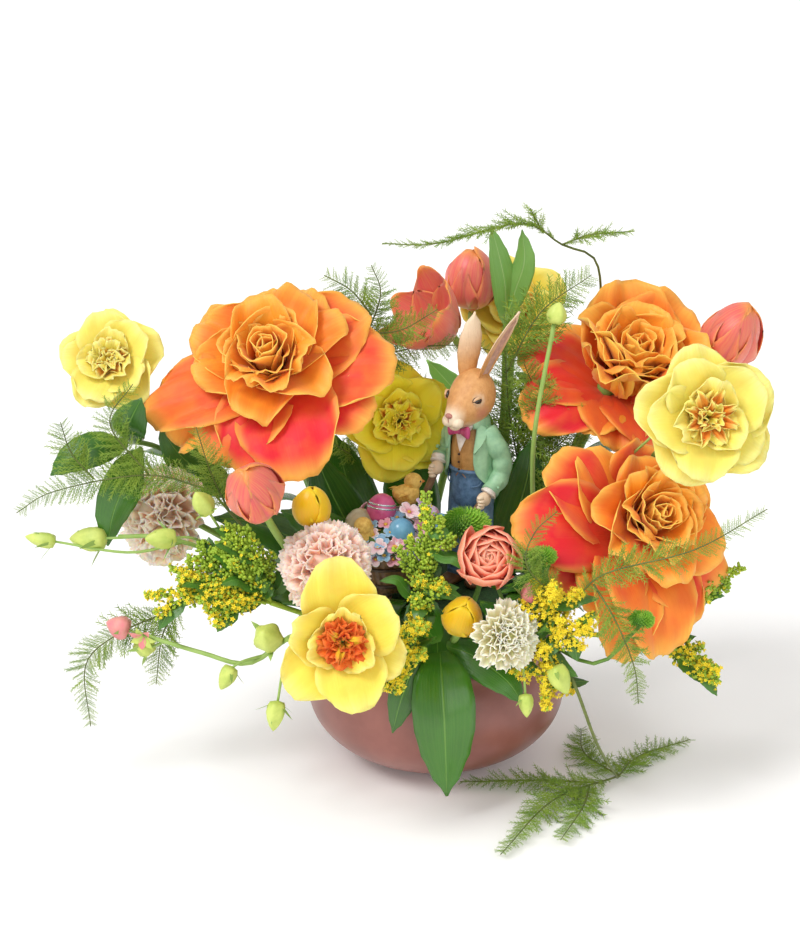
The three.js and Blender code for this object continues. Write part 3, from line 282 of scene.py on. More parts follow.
def bowl():
    outside = [(p.x, p.y) for p in spline([(r, z, 0) for r, z in BOWL_OUTSIDE], 30)]
    inside = [(r - BOWL_WALL, max(z, BOWL_FLOOR)) for r, z in reversed(outside[:-1])]
    rim_radius, rim_height = BOWL_OUTSIDE[-1]
    lip_radius = BOWL_WALL / 2
    lip = []
    for turn in map(radians, range(20, 170, 20)):
        aside, up = lip_radius * cos(turn), 0.8 * lip_radius * sin(turn)
        lip.append((rim_radius - lip_radius + aside, rim_height + up))
    bm = bmesh.new()
    spin_round(bm, [(0, 0), (36, 0), (39, 0.3), *outside, *lip, *inside, (0, BOWL_FLOOR)], 96)
    glaze = finish("dusty_rose_glaze", "99635a", 0.36, coat_weight=0.25, coat_roughness=0.25)
    colour = mottled(
        glaze, "9a5f55", "814b42", scale=26.0, detail=5.0, amount=0.75, bump=0.12, depth=0.0008,
    )
    tree = glaze.node_tree
    place = wire(tree, "TexCoord").outputs["Object"]
    height = wire(tree, "SeparateXYZ", {0: place}).outputs["Z"]
    worn = ramp(tree, height, 0.078, 0.089, kind="SMOOTHSTEP")
    rim = blend(tree, worn, colour, ink("ab7568"))
    tree.links.new(rim, tree.nodes["Principled BSDF"].inputs["Base Color"])
    settle(bm, "stoneware_bowl", [glaze], "bowl")


bowl()


# ----------
# Floral foam: a dark green block of fine open cells, wet through. Its solid already has the carved
# shoulders and the stem holes, so it keeps its shape and only takes its finish.
# ----------
wet_foam = finish("wet_floral_foam", "2c4f2c", 0.9)
mottled(wet_foam, "35592f", "1f3a1f", scale=420.0, detail=8.0, amount=0.9, bump=0.8, depth=0.002)
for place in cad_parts["floral_foam"].material_slots:
    place.material = wet_foam


# ----------
# Stems of the cut flowers: each goes into its own hole in the side of the foam and rises to the
# back of its bloom. A stem is a round stalk, a little thicker at its foot.
# ----------
FOAM_TOP = 125.0
FOAM_TOP_RADIUS = 63.0
FOAM_SHOULDER_RADIUS = 72.0
FOAM_HEART = Vector((0, 8, 66))
HOLE_DEPTH = 26.0


def mouth(turn, height):
    """The place where a stem enters the foam, in degrees to the right of the front, and its height."""
    share = (height - BOWL_HEIGHT) / (FOAM_TOP - BOWL_HEIGHT)
    radius = FOAM_SHOULDER_RADIUS + (FOAM_TOP_RADIUS - FOAM_SHOULDER_RADIUS) * share
    turn = radians(turn)
    return Vector((radius * sin(turn), -radius * cos(turn), height))


def foot_of(hole):
    """The lower end of a stem, aimed at the heart of the foam."""
    return hole + (FOAM_HEART - hole).normalized() * HOLE_DEPTH


def seat(at, facing):
    """A bloom's own frame: +Z out of its face, +X to its right and +Y up its face."""
    turn, lift = map(radians, facing)
    out = Vector((sin(turn) * cos(lift), -cos(turn) * cos(lift), sin(lift)))
    right = Vector((0, 0, 1)).cross(out).normalized()
    top = out.cross(right)
    frame_of = Matrix((right, top, out)).transposed().to_4x4()
    frame_of.translation = Vector(at)
    return frame_of


def round_spot(wide, deep, angle, height):
    """A place on an oval about the upright axis."""
    return Vector((wide * cos(angle), deep * sin(angle), height))


def start_mesh():
    """An empty mesh whose corners carry a tone: how far along, how far aside, heat and chance."""
    bm = bmesh.new()
    bm.verts.layers.float_color.new("tone")
    return bm


def shade_faces(made, slot):
    """Smooths the faces round some corners and gives them a material."""
    for face in {f for vert in made for f in vert.link_faces}:
        face.material_index = slot
        face.smooth = True


def sheet(bm, place, across, rows, heat=0.0, chance=0.0, slot=0, weld=0.0):
    """A grid laid out by place(s, t): s runs from -1 to 1 across it and t from 0 to 1 along it.

    Corners nearer than `weld` are joined, which closes its seam and its ends.
    """
    tone = bm.verts.layers.float_color["tone"]
    made = bmesh.ops.create_grid(bm, x_segments=across, y_segments=rows, size=1.0)["verts"]
    for vert in made:
        s, t = vert.co.x, (vert.co.y + 1) / 2
        vert.co = place(s, t)
        vert[tone] = (t, abs(s), heat, chance)
    shade_faces(made, slot)
    if weld:
        bmesh.ops.remove_doubles(bm, verts=made, dist=weld)
    return made


def tube(bm, points, radius, sides, rows, heat=0.0, slot=0):
    """A round rod along a smooth line, closed to a point at both ends. radius(t) is its radius."""
    line = spline(points, rows - 1)
    ways = [(b - a).normalized() for a, b in zip(line, line[1:])]
    ways.append(ways[-1])
    aside = ways[0].orthogonal().normalized()
    rings = []
    for centre, way in zip(line, ways):
        aside = (aside - way * aside.dot(way)).normalized()
        rings.append((centre, aside, way.cross(aside)))

    def place(s, t):
        row = round(t * rows)
        if row in (0, rows):
            return line[0 if row == 0 else -1]
        centre, u, v = rings[row - 1]
        width = radius((row - 1) / (rows - 2))
        angle = s * pi
        return centre + (u * cos(angle) + v * sin(angle)) * width

    sheet(bm, place, sides, rows, heat, 0.0, slot, 1e-4)
    return line


def stem_line(hole, at, behind, straight):
    """The line of a stem from the foam to `behind` the seat of its bloom."""
    foot = foot_of(hole)
    out = at.to_3x3() @ Vector((0, 0, 1))
    top = at.translation - out * behind
    reach = max((foot - top).length / 3, HOLE_DEPTH)
    first = foot + (hole - foot).normalized() * reach
    last = top - out * straight
    line = []
    for t in (k / 8 for k in range(9)):
        lower = foot * (1 - t) ** 3 + first * 3 * t * (1 - t) ** 2
        line.append(lower + last * 3 * t**2 * (1 - t) + top * t**3)
    return line


def points_on(at, *points):
    """Places given in the frame `at`, in the arrangement's own."""
    return [at @ Vector(p) for p in points]


def stalk_material(name, colour, shade, roughness):
    material = finish(name, colour, roughness)
    mottled(material, colour, shade, scale=90.0, detail=4.0, amount=0.8, bump=0.15, depth=0.0006)
    return material


GREEN_STALK = stalk_material("green_stalk", "6f9440", "4f7a2c", 0.5)
PALE_STALK = stalk_material("pale_stalk", "9dbb62", "86a84c", 0.5)


def flower_stem(name, hole, at, behind, straight, thick, material):
    bm = start_mesh()
    line = stem_line(hole, at, behind, straight)
    tube(bm, line, lambda t: thick * (1.08 - 0.2 * t), 12, 26)
    settle(bm, f"{name}_stalk", [material], f"{name}_stem")


# ----------
# Roses: three garden roses, fully open, whose outer petals florists fold back by hand. Velvety
# petals, golden in the heart, orange in the middle and red on the folded outer ones.
# ----------
def petal_group():
    """Colours along a petal: by heat, towards its claw and along its rim, with fine veins."""
    colours, values = ("Cool", "Hot", "Claw", "Rim"), ("Claw Reach", "Rim Width", "Veins")
    tree, given = open_group("petal_tones", colours, values)
    tone = wire(tree, "Attribute", attribute_name="tone").outputs
    along, side, heat = wire(tree, "SeparateColor", {0: tone["Color"]}).outputs[:3]
    place = wire(tree, "TexCoord").outputs["Object"]
    inputs = {"Vector": place, "Scale": 55.0, "Detail": 3.0}
    drift = ramp(tree, wire(tree, "TexNoise", inputs).outputs["Fac"], 0.3, 0.7, -0.16, 0.16)
    warm = reckon(tree, "ADD", heat, drift, use_clamp=True)
    body = blend(tree, warm, given["Cool"], given["Hot"])
    claw = ramp(tree, along, given["Claw Reach"], 0.0, kind="SMOOTHSTEP")
    lower = blend(tree, claw, body, given["Claw"])
    outer = reckon(tree, "MAXIMUM", along, side)
    edge = ramp(tree, outer, reckon(tree, "SUBTRACT", 1.0, given["Rim Width"]), 1.02, kind="SMOOTHSTEP")
    rimmed = blend(tree, reckon(tree, "MULTIPLY", edge, along), lower, given["Rim"])
    across = reckon(tree, "MULTIPLY", side, 15.0)
    own = reckon(tree, "MULTIPLY", tone["Alpha"], 40.0)
    grain = wire(tree, "CombineXYZ", {0: across, 1: along, 2: own}).outputs[0]
    inputs = {"Vector": grain, "Scale": 1.6, "Detail": 3.0}
    vein = wire(tree, "TexNoise", inputs).outputs["Fac"]
    dark = reckon(tree, "MULTIPLY", ramp(tree, vein, 0.35, 0.65, 1.0, 0.0), given["Veins"])
    return close_group(tree, blend(tree, dark, rimmed, given["Claw"]), vein)


PETAL_TONES = petal_group()


def petal_material(
    name, cool, hot, claw, rim, claw_reach=0.3, rim_width=0.2, veins=0.12, roughness=0.55, glow=0.22,
):
    """Petal finish. `glow` is how much light the thin petal lets through."""
    material = finish(
        name, cool, roughness, subsurface_weight=glow, subsurface_radius=(1.0, 0.45, 0.2),
        subsurface_scale=0.002, sheen_weight=0.12, specular_ior_level=0.35,
    )
    values = {"Claw Reach": claw_reach, "Rim Width": rim_width, "Veins": veins}
    tones = placed(material, PETAL_TONES, {"Cool": cool, "Hot": hot, "Claw": claw, "Rim": rim, **values})
    coat(material, tones["Colour"], tones["Height"], 0.35, 0.0006)
    return material


SPIRAL_ANGLE = 137.5  # degrees from one petal of a spiral to the next
WAVE = 6.28  # a whole wave, for ripples that may start anywhere
ROSE_OUTLINE = (0.3, 0.62, 0.86, 0.98, 1.03, 1.0, 0.84)
ROUND_OUTLINE = (0.3, 0.62, 0.84, 0.97, 1.02, 0.98, 0.78)
TULIP_OUTLINE = (0.4, 0.8, 1.0, 1.0, 0.94, 0.8, 0.42)
FAN_OUTLINE = (0.14, 0.24, 0.4, 0.6, 0.82, 0.98, 1.0)
STRAP_OUTLINE = (0.3, 0.6, 0.85, 1.0, 0.95, 0.75, 0.3)


def along(values, t):
    """Reads evenly spaced values at t, from 0 to 1, smoothly between them."""
    at = min(max(t, 0.0), 1.0) * (len(values) - 1)
    low = min(int(at), len(values) - 2)
    part = at - low
    return values[low] + (values[low + 1] - values[low]) * part * part * (3 - 2 * part)


def petal(
    bm, at, angle, length, width, lean, outline, root=3.0, lift=0.0, late=1.0, cup=1000.0, twist=0.0,
    ripple=0.0, waves=2.0, curl=0.0, point=0.12, fringe=0.0, teeth=9.0, across=8, rows=10, heat=0.0,
    chance=0.0, slot=0,
):
    """One petal of a bloom whose axis is +Z of `at`.

    It leaves the axis at `angle` and leans away from it by lean[0] degrees at its claw and lean[1]
    at its tip. `cup` is the radius it is rolled to across, `curl` folds its sides and tip back,
    `point` draws its corners in, and `fringe` cuts its free end into teeth.
    """
    start, end = map(radians, lean)
    turn = radians(angle)
    radial = Vector((cos(turn), sin(turn), 0))
    tangent = Vector((-sin(turn), cos(turn), 0))
    axis = Vector((0, 0, 1))
    steps = 20
    middle = []
    out, up = root, lift
    for k in range(steps + 1):
        tilt = start + (end - start) * (k / steps) ** late
        middle.append((out, up, tilt))
        out += sin(tilt) * length / steps
        up += cos(tilt) * length / steps
    phase = chance * WAVE

    def place(s, t):
        far = t * (1 - point * abs(s) ** 2.6)
        far *= 1 + fringe * t * sin(teeth * pi * s + phase)
        far = min(far, 1.0)
        at_step = far * steps
        low = min(int(at_step), steps - 1)
        part = at_step - low
        a, b = middle[low], middle[low + 1]
        from_axis, height, tilt = (a[i] + (b[i] - a[i]) * part for i in range(3))
        half = width / 2 * along(outline, t)
        bend = s * half / cup
        side = cup * sin(bend)
        rise = cup * (1 - cos(bend)) + twist * s * half
        rise += ripple * far * far * sin(waves * pi * s + phase)
        rise += 0.4 * ripple * far * sin(2.3 * waves * pi * s - phase + 4 * far)
        rise -= curl * length * (abs(s) ** 3 * far * 0.5 + max(0.0, far - 0.72) ** 2 * 3.5)
        inward = radial * -cos(tilt) + axis * sin(tilt)
        return at @ (radial * from_axis + axis * height + tangent * side + inward * rise)

    return sheet(bm, place, across, rows, heat, chance, slot)


def ball(bm, at, size, turn=None, detail=3, heat=0.0, slot=0):
    """A round form squeezed to three half sizes, turned and set at a point."""
    tone = bm.verts.layers.float_color["tone"]
    made = bmesh.ops.create_icosphere(bm, subdivisions=detail, radius=1.0)["verts"]
    grow = Matrix.Diagonal((*size, 1.0))
    where = Matrix.Translation(at) @ (turn if turn else Matrix.Identity(4)) @ grow
    for vert in made:
        vert[tone] = ((vert.co.z + 1) / 2, 0.0, heat, 0.0)
        vert.co = where @ vert.co
    shade_faces(made, slot)


ROSE_OUTSIDE = petal_material(
    "rose_petal_outside", "fcc840", "ee5426", "f8aa2c", "fdd060", claw_reach=0.4, rim_width=0.2,
    veins=0.08,
)
# Inner faces: the red from the claw is partly the rose's own, partly painted shade between the petals.
ROSE_INSIDE = petal_material(
    "rose_petal_inside", "fca628", "e4162c", "e2480e", "fcb84c", claw_reach=0.72, rim_width=0.22,
    veins=0.12,
)
SEPAL_GREEN = stalk_material("sepal_green", "7b9a3e", "5d8130", 0.55)
ROSES = (
    # name, seat, facing, hole, height of the heart, how open it is, where it sits on the face, then
    # its folded petals: angle, length, width, lean at the tip and heat
    (
        "rose_left", (-106, -22, 284), (-12, 46), (-116, 119), 46, 1.0, (-3, 2),
        (
            (268, 80, 52, 132, 1.0), (246, 76, 56, 126, 0.62), (292, 84, 60, 120, 0.95),
            (206, 94, 50, 122, 0.6), (222, 88, 36, 134, 0.25), (152, 66, 46, 96, 0.3),
            (112, 58, 46, 88, 0.2), (74, 60, 46, 86, 0.3), (44, 72, 56, 100, 0.6),
            (8, 80, 62, 108, 0.75), (336, 74, 52, 112, 0.9), (18, 66, 36, 96, 0.25),
        ),
    ),
    (
        "rose_upright", (116, 30, 258), (18, 58), (126, 119), 60, 0.6, (13, -2),
        (
            (150, 64, 44, 112, 0.85), (200, 70, 50, 132, 1.0), (176, 58, 40, 118, 0.7),
            (262, 56, 46, 120, 0.6), (292, 62, 44, 132, 0.75), (330, 54, 44, 104, 0.3),
            (20, 50, 42, 84, 0.15), (62, 52, 42, 84, 0.1), (112, 52, 42, 88, 0.15),
            (240, 50, 34, 96, 0.3),
        ),
    ),
    (
        "rose_low", (122, -56, 184), (28, 34), (78, 108), 44, 0.9, (15, 3),
        (
            (168, 84, 52, 122, 1.0), (128, 70, 56, 104, 0.8), (108, 60, 44, 90, 0.4),
            (52, 66, 54, 106, 0.7), (20, 62, 52, 98, 0.45), (318, 78, 58, 122, 0.7),
            (272, 88, 58, 118, 0.45), (250, 90, 48, 112, 0.5), (292, 86, 44, 128, 0.8),
            (205, 66, 42, 118, 0.9), (186, 56, 34, 88, 0.3), (232, 66, 46, 100, 0.35),
        ),
    ),
)


def rose_bloom(bm, at, height, spread, centre, folded, dice):
    """A spiral heart, a ring of ruffled petals round it, and the long petals folded back by hand."""
    heart = at @ Matrix.Translation((*centre, 0))
    count = 14
    for k in range(count):
        f = k / (count - 1)
        petal(
            bm, heart, k * SPIRAL_ANGLE + dice.uniform(-8, 8),
            height * (0.66 + 0.3 * f) * dice.uniform(0.94, 1.08), height * (0.5 + 0.5 * f),
            (3 + (22 + dice.uniform(-4, 8)) * f, -8 + 66 * spread * f**1.6 + dice.uniform(-12, 12) * f),
            ROSE_OUTLINE, root=1.2 + 3.5 * f, lift=9 * (1 - f), late=1.2 + 1.4 * f,
            cup=height * (0.13 + 0.26 * f), twist=0.14 + dice.uniform(-0.1, 0.1) * f,
            ripple=height * (0.01 + 0.045 * f), waves=dice.uniform(1.2, 2.2), curl=0.03 + 0.1 * f,
            point=0.14, across=12, rows=14, heat=0.04 + 0.16 * f, chance=dice.random(),
        )
    for k in range(12):
        loose = k % 2
        petal(
            bm, heart, 60 * (k // 2) + 30 * loose + dice.uniform(-16, 16),
            height * dice.uniform(0.92, 1.14) * (1 + 0.12 * loose), height * dice.uniform(1.0, 1.3),
            (
                (26 + 22 * loose) * spread + dice.uniform(-6, 6),
                (62 + 34 * loose) * spread + dice.uniform(-14, 14),
            ),
            ROSE_OUTLINE, root=4, late=1.7, cup=height * (0.46 + 0.3 * loose),
            twist=dice.uniform(-0.2, 0.3), ripple=height * 0.1, waves=dice.uniform(1.1, 1.9), curl=0.12,
            point=0.3, fringe=0.008, teeth=5, across=16, rows=16,
            heat=0.02 + 0.2 * loose + 0.16 * dice.random(), chance=dice.random(),
        )
    for order, (angle, length, width, tip, heat) in enumerate(folded):
        petal(
            bm, at, angle, length, width * 1.16, (58, tip), ROSE_OUTLINE, root=4, lift=-1 - 0.7 * order,
            late=1.1, cup=length * dice.uniform(0.9, 2.0), twist=dice.uniform(-0.15, 0.15),
            ripple=length * 0.055, waves=dice.uniform(0.9, 1.7), curl=0.07, point=0.3, fringe=0.012,
            teeth=5, across=18, rows=20, heat=heat, chance=dice.random(),
        )
    ball(bm, at @ Vector((0, 0, -3)), (7, 7, 7), slot=2)
    for k in range(5):
        petal(
            bm, at, 72 * k + 20, 30, 8, (95, 150), STRAP_OUTLINE, root=4, lift=-3, rows=6, across=4,
            slot=2,
        )


for number, (name, place, facing, hole, height, spread, centre, folded) in enumerate(ROSES):
    where = seat(place, facing)
    rose = start_mesh()
    rose_bloom(rose, where, height, spread, centre, folded, random.Random(40 + number))
    finishes = [ROSE_OUTSIDE, ROSE_INSIDE, SEPAL_GREEN, SEPAL_GREEN]
    settle(rose, f"{name}_bloom", finishes, name, 0.45, 1)
    flower_stem(name, mouth(*hole), where, 6, 30, 3.2, GREEN_STALK)


# ----------
# Double daffodils: rings of broad crisp petals with a frilled heart, some of it orange. A brown
# papery sheath stays on the stem where the bud once was.
# ----------
LEMON_PETAL = petal_material(
    "lemon_daffodil_petal", "f4e26a", "ee8a22", "ebd23e", "f8ee92", claw_reach=0.35, rim_width=0.3,
    veins=0.2,
)
YELLOW_PETAL = petal_material(
    "yellow_daffodil_petal", "f6de56", "ee6c18", "f2ca38", "faeb84", claw_reach=0.35, rim_width=0.3,
    veins=0.2,
)
# Centre daffodil: a deeper yellow of its own, pushed to full lemon as painted light against its shade.
DEEP_YELLOW_LIT_PETAL = petal_material(
    "deep_yellow_lit_daffodil_petal", "fff034", "f4620c", "fbd820", "fff65a", claw_reach=0.4, rim_width=0.3,
    veins=0.22,
)
FRILL = petal_material(
    "orange_frill", "f3cf2c", "ea4a14", "e65614", "f07a28", claw_reach=0.3, rim_width=0.35, veins=0.25,
)
LEMON_FRILL = petal_material(
    "lemon_frill", "f8e660", "f0801c", "f6c84c", "fcf084", claw_reach=0.3, rim_width=0.35, veins=0.2,
)
PAPER_SHEATH = finish("papery_sheath", "a98a58", 0.7)
mottled(PAPER_SHEATH, "b39562", "8a6c40", scale=220.0, detail=5.0, amount=0.8, bump=0.3, depth=0.0006)
DAFFODILS = (
    # name, seat, facing, hole, reach, petal finish, straight run of stem, frilled cup
    ("daffodil_left", (-216, -4, 285), (-15, 35), (-93, 116), 36, LEMON_PETAL, 16, False),
    ("daffodil_right", (170, -78, 272), (10, 20), (97, 116), 46, LEMON_PETAL, 60, True),
    ("daffodil_front", (-62, -137, 144), (3, 12), (-27, 103), 42, YELLOW_PETAL, 16, True),
    ("daffodil_centre", (-27, 43, 229), (10, 20), (-158, 119), 41, DEEP_YELLOW_LIT_PETAL, 16, False),
    ("daffodil_back", (55, 102, 290), (0, 34), (148, 112), 38, YELLOW_PETAL, 16, False),
)
FRILLS = {
    # petals in the ring, first angle, length, width, lean at claw and tip, heat
    "daffodil_front": (
        (11, 0, 19, 14, (40, 74), 1.0), (9, 20, 16, 11, (30, 60), 0.9), (7, 50, 13, 9, (12, 40), 1.0),
        (3, 10, 22, 6, (14, 50), 0.0), (4, 70, 13, 5, (0, 30), 0.05),
    ),
    "daffodil_right": (
        (5, 0, 21, 16, (46, 72), 0.0), (8, 24, 23, 8, (38, 62), 1.2), (4, 50, 15, 12, (20, 44), 0.0),
        (5, 10, 17, 6, (14, 44), 1.2), (3, 70, 12, 8, (0, 26), 0.0),
    ),
}


def daffodil_ring(
    bm, at, count, start, length, width, lean, lift, heat, dice, ripple=0.07, rows=12, tall=0.0,
):
    for k in range(count):
        angle = start + 360 * k / count + dice.uniform(-7, 7)
        petal(
            bm, at, angle, length * dice.uniform(0.94, 1.04) * (1 + tall * sin(radians(angle)) ** 2),
            width * dice.uniform(0.9, 1.08),
            (lean[0] + dice.uniform(-4, 4), lean[1] + dice.uniform(-10, 10)), ROUND_OUTLINE,
            root=1.4 if lift > 4 else 3, lift=lift, cup=length * dice.uniform(0.8, 1.8),
            twist=dice.uniform(-0.08, 0.12), ripple=length * ripple, waves=dice.uniform(1.0, 2.2),
            point=0.26, fringe=0.008, teeth=7, across=12, rows=rows, heat=heat * dice.uniform(0.7, 1.0),
            chance=dice.random(),
        )


for number, (name, place, facing, hole, reach, finish_of, straight, frilled) in enumerate(DAFFODILS):
    dice = random.Random(70 + number)
    where = seat(place, facing)
    bloom = start_mesh()
    front = name == "daffodil_front"
    count, tall = (3, 0.3) if front else (5, 0.0)
    daffodil_ring(bloom, where, count, 100, reach, reach * 1.12, (62, 92), 0, 0.0, dice, tall=tall)
    daffodil_ring(bloom, where, count, 40, reach * 0.9, reach * 1.04, (52, 76), 2, 0.0, dice, tall=tall)
    daffodil_ring(bloom, where, 3, 80, reach * 0.66, reach * 0.7, (36, 58), 4, 0.05, dice, 0.1)
    if not frilled:
        daffodil_ring(bloom, where, 6, 22, reach * 0.5, reach * 0.34, (30, 62), 5, 1.0, dice, 0.16, 8)
        daffodil_ring(bloom, where, 6, 5, reach * 0.52, reach * 0.44, (18, 52), 5, 0.0, dice, 0.18, 8)
        daffodil_ring(bloom, where, 4, 40, reach * 0.4, reach * 0.2, (8, 34), 6, 1.0, dice, 0.16, 7)
        daffodil_ring(bloom, where, 4, 10, reach * 0.36, reach * 0.34, (2, 22), 6, 0.0, dice, 0.18, 7)
    neck = points_on(where, *((0, 0, z) for z in (-12, -8, -4, -0.5)))
    tube(bloom, neck, lambda t: 2.8 + 2.4 * t, 10, 8, slot=1)
    for turn in (0, 170):
        petal(
            bloom, where, turn, 26, 9, (186, 160), STRAP_OUTLINE, root=2.6, lift=-11, cup=6, rows=7,
            slot=2,
        )
    settle(bloom, f"{name}_bloom", [finish_of, SEPAL_GREEN, PAPER_SHEATH], name, 0.4)
    if frilled:
        cup = start_mesh()
        for count, start, length, width, lean, heat in FRILLS[name]:
            daffodil_ring(cup, where, count, start, length, width, lean, 9, heat, dice, 0.13, 7)
        settle(cup, f"{name}_frill", [FRILL if front else LEMON_FRILL], f"{name}_cup", 0.4)
    flower_stem(name, mouth(*hole), where, 12.3, straight, 2.8, GREEN_STALK)


# ----------
# Tulips: three outer and three inner waxy petals that close to an egg, and on one flower stand
# open. The tall ones are salmon pink with yellow edges; two small yellow ones stand low.
# ----------
TULIP_PETAL = petal_material(
    "salmon_tulip_petal", "e8706a", "dc4f52", "eab060", "f09848", claw_reach=0.28, rim_width=0.18,
    veins=0.3, roughness=0.36, glow=0.3,
)
YELLOW_TULIP_PETAL = petal_material(
    "yellow_tulip_petal", "edc00c", "e3a506", "c9b41c", "f3cf22", claw_reach=0.3, veins=0.2,
    roughness=0.35,
)


def tulip_bloom(bm, at, reach, spread, dice):
    for start, share, root, heat in ((60, 0.93, 2.0, 0.15), (0, 1.0, 3.6, 0.55)):
        for k in range(3):
            petal(
                bm, at, start + 120 * k + dice.uniform(-3, 3), reach * share * dice.uniform(0.97, 1.02),
                reach * 0.94, spread, TULIP_OUTLINE, root=root, late=0.7, cup=reach * 0.36, twist=0.06,
                ripple=reach * 0.012, curl=-0.02, point=0.2, across=12, rows=16,
                heat=heat * dice.uniform(0.5, 1.2), chance=dice.random(),
            )
    ball(bm, at @ Vector((0, 0, 1)), (4.4, 4.4, 3.6))


TULIPS = (
    # name, seat, facing, hole, reach, lean at claw and tip
    ("tulip_front", (-113, -103, 219), (-25, 55), (-58, 114), 56, (80, -68)),
    ("tulip_top", (25, 84, 299), (0, 86), (167, 119), 55, (78, -64)),
    ("tulip_open", (10, 52, 288), (-60, 40), (-172, 112), 52, (68, 10)),
    ("tulip_right", (190, 24, 278), (70, 62), (112, 113), 60, (76, -64)),
)
for number, (name, place, facing, hole, reach, spread) in enumerate(TULIPS):
    where = seat(place, facing)
    bloom = start_mesh()
    tulip_bloom(bloom, where, reach, spread, random.Random(90 + number))
    settle(bloom, f"{name}_bloom", [TULIP_PETAL], name, 0.6)
    flower_stem(name, mouth(*hole), where, 4, 40, 2.8, PALE_STALK)

YELLOW_TULIPS = (
    ("yellow_tulip_left", (-82, -84, 202), (0, 78), (-72, 118), 36),
    ("yellow_tulip_front", (14, -106, 139), (10, 50), (8, 110), 38),
)
for number, (name, place, facing, hole, reach) in enumerate(YELLOW_TULIPS):
    where = seat(place, facing)
    bloom = start_mesh()
    tulip_bloom(bloom, where, reach, (82, -70), random.Random(96 + number))
    tube(bloom, stem_line(mouth(*hole), where, 1, 24), lambda t: 2.4, 10, 20, slot=1)
    settle(bloom, f"{name}_bloom", [YELLOW_TULIP_PETAL, PALE_STALK], name, 0.5)


# ----------
# Carnations: a tight burst of ruffled, toothed petals out of a green tube, round a full heart.
# The front one is peach pink; the left one is paler, partly its own colour, partly painted light.
# ----------
CARNATION_PETAL = petal_material(
    "carnation_petal", "ffcab2", "fbac98", "faa68c", "ffe6da", claw_reach=0.4, rim_width=0.3, veins=0.06,
    glow=0.4,
)
# Paler carnation: partly its own colour, partly painted light lifting it out of the shade it sits in.
PALE_LIT_CARNATION_PETAL = petal_material(
    "carnation_petal_pale_lit", "ffd8bc", "ffc4a4", "fcb496", "ffeee0", claw_reach=0.4, rim_width=0.3,
    veins=0.06, glow=0.55,
)
CARNATIONS = (
    ("carnation_front", (-72, -98, 176), (-10, 34), (-50, 115), 30, CARNATION_PETAL),
    ("carnation_left", (-180, -12, 180), (-40, 25), (-105, 100), 34, PALE_LIT_CARNATION_PETAL),
)
CARNATION_RINGS = (
    # petals, share of the reach, lean at claw and tip, how far up the heart they start
    (9, 1.0, (62, 96), 0),
    (9, 0.98, (54, 84), 2),
    (8, 0.94, (42, 70), 4),
    (8, 0.9, (30, 54), 5),
    (7, 0.86, (18, 38), 6),
    (6, 0.82, (6, 22), 7),
)
for number, (name, place, facing, hole, reach, material) in enumerate(CARNATIONS):
    dice = random.Random(110 + number)
    where = seat(place, facing)
    bloom = start_mesh()
    for ring_number, (count, share, lean, lift) in enumerate(CARNATION_RINGS):
        for k in range(count):
            petal(
                bloom, where, 360 * k / count + 17 * ring_number + dice.uniform(-8, 8),
                reach * share * dice.uniform(0.92, 1.04), reach * 0.82, lean, FAN_OUTLINE, root=2,
                lift=lift, ripple=reach * 0.11, waves=dice.uniform(1.6, 2.6),
                twist=dice.uniform(-0.2, 0.2), point=0.1, fringe=0.045, teeth=dice.choice((7, 9, 11)),
                across=22, rows=7, heat=dice.uniform(0.0, 0.5) + (0.3 if ring_number > 3 else 0.0),
                chance=dice.random(),
            )
    ball(bloom, where @ Vector((0, 0, reach * 0.4)), (reach * 0.44,) * 3)
    neck = points_on(where, *((0, 0, z) for z in (-14, -8, 0, 8)))
    tube(bloom, neck, lambda t: 3.0 + 4.4 * t, 12, 8, slot=1)
    tube(bloom, stem_line(mouth(*hole), where, 11, 24), lambda t: 2.0, 10, 20, slot=1)
    settle(bloom, f"{name}_bloom", [material, SEPAL_GREEN], name, 0.35)


# ----------
# Ranunculus: dozens of thin petals laid round a ball, one inside the other, on a short stem.
# They are coral with pale rims.
# ----------
RANUNCULUS_PETAL = petal_material(
    "ranunculus_petal", "fa8a66", "f2644e", "f2744e", "fcb094", claw_reach=0.4, rim_width=0.22, veins=0.12,
    glow=0.35,
)


def ranunculus_bloom(bm, at, reach, dice):
    count = 52
    for k in range(count):
        f = k / (count - 1)
        petal(
            bm, at, k * SPIRAL_ANGLE, reach * (0.45 + 0.95 * f), reach * (0.7 + 0.75 * f),
            (26 + 62 * f, -80 + 48 * f), ROSE_OUTLINE, root=1 + 3 * f, lift=reach * 0.34 * (1 - f),
            late=0.75, cup=reach * (0.3 + 0.55 * f), twist=0.1, ripple=reach * 0.02, waves=2.2, curl=0.03,
            heat=dice.uniform(0.1, 0.6) + 0.4 * (1 - f), chance=dice.random(),
        )


where = seat((32, -99, 183), (0, 25))
bloom = start_mesh()
ranunculus_bloom(bloom, where, 29, random.Random(120))
settle(bloom, "ranunculus_bloom", [RANUNCULUS_PETAL], "ranunculus", 0.3)
flower_stem("ranunculus", mouth(17, 117), where, 4, 20, 2.0, GREEN_STALK)


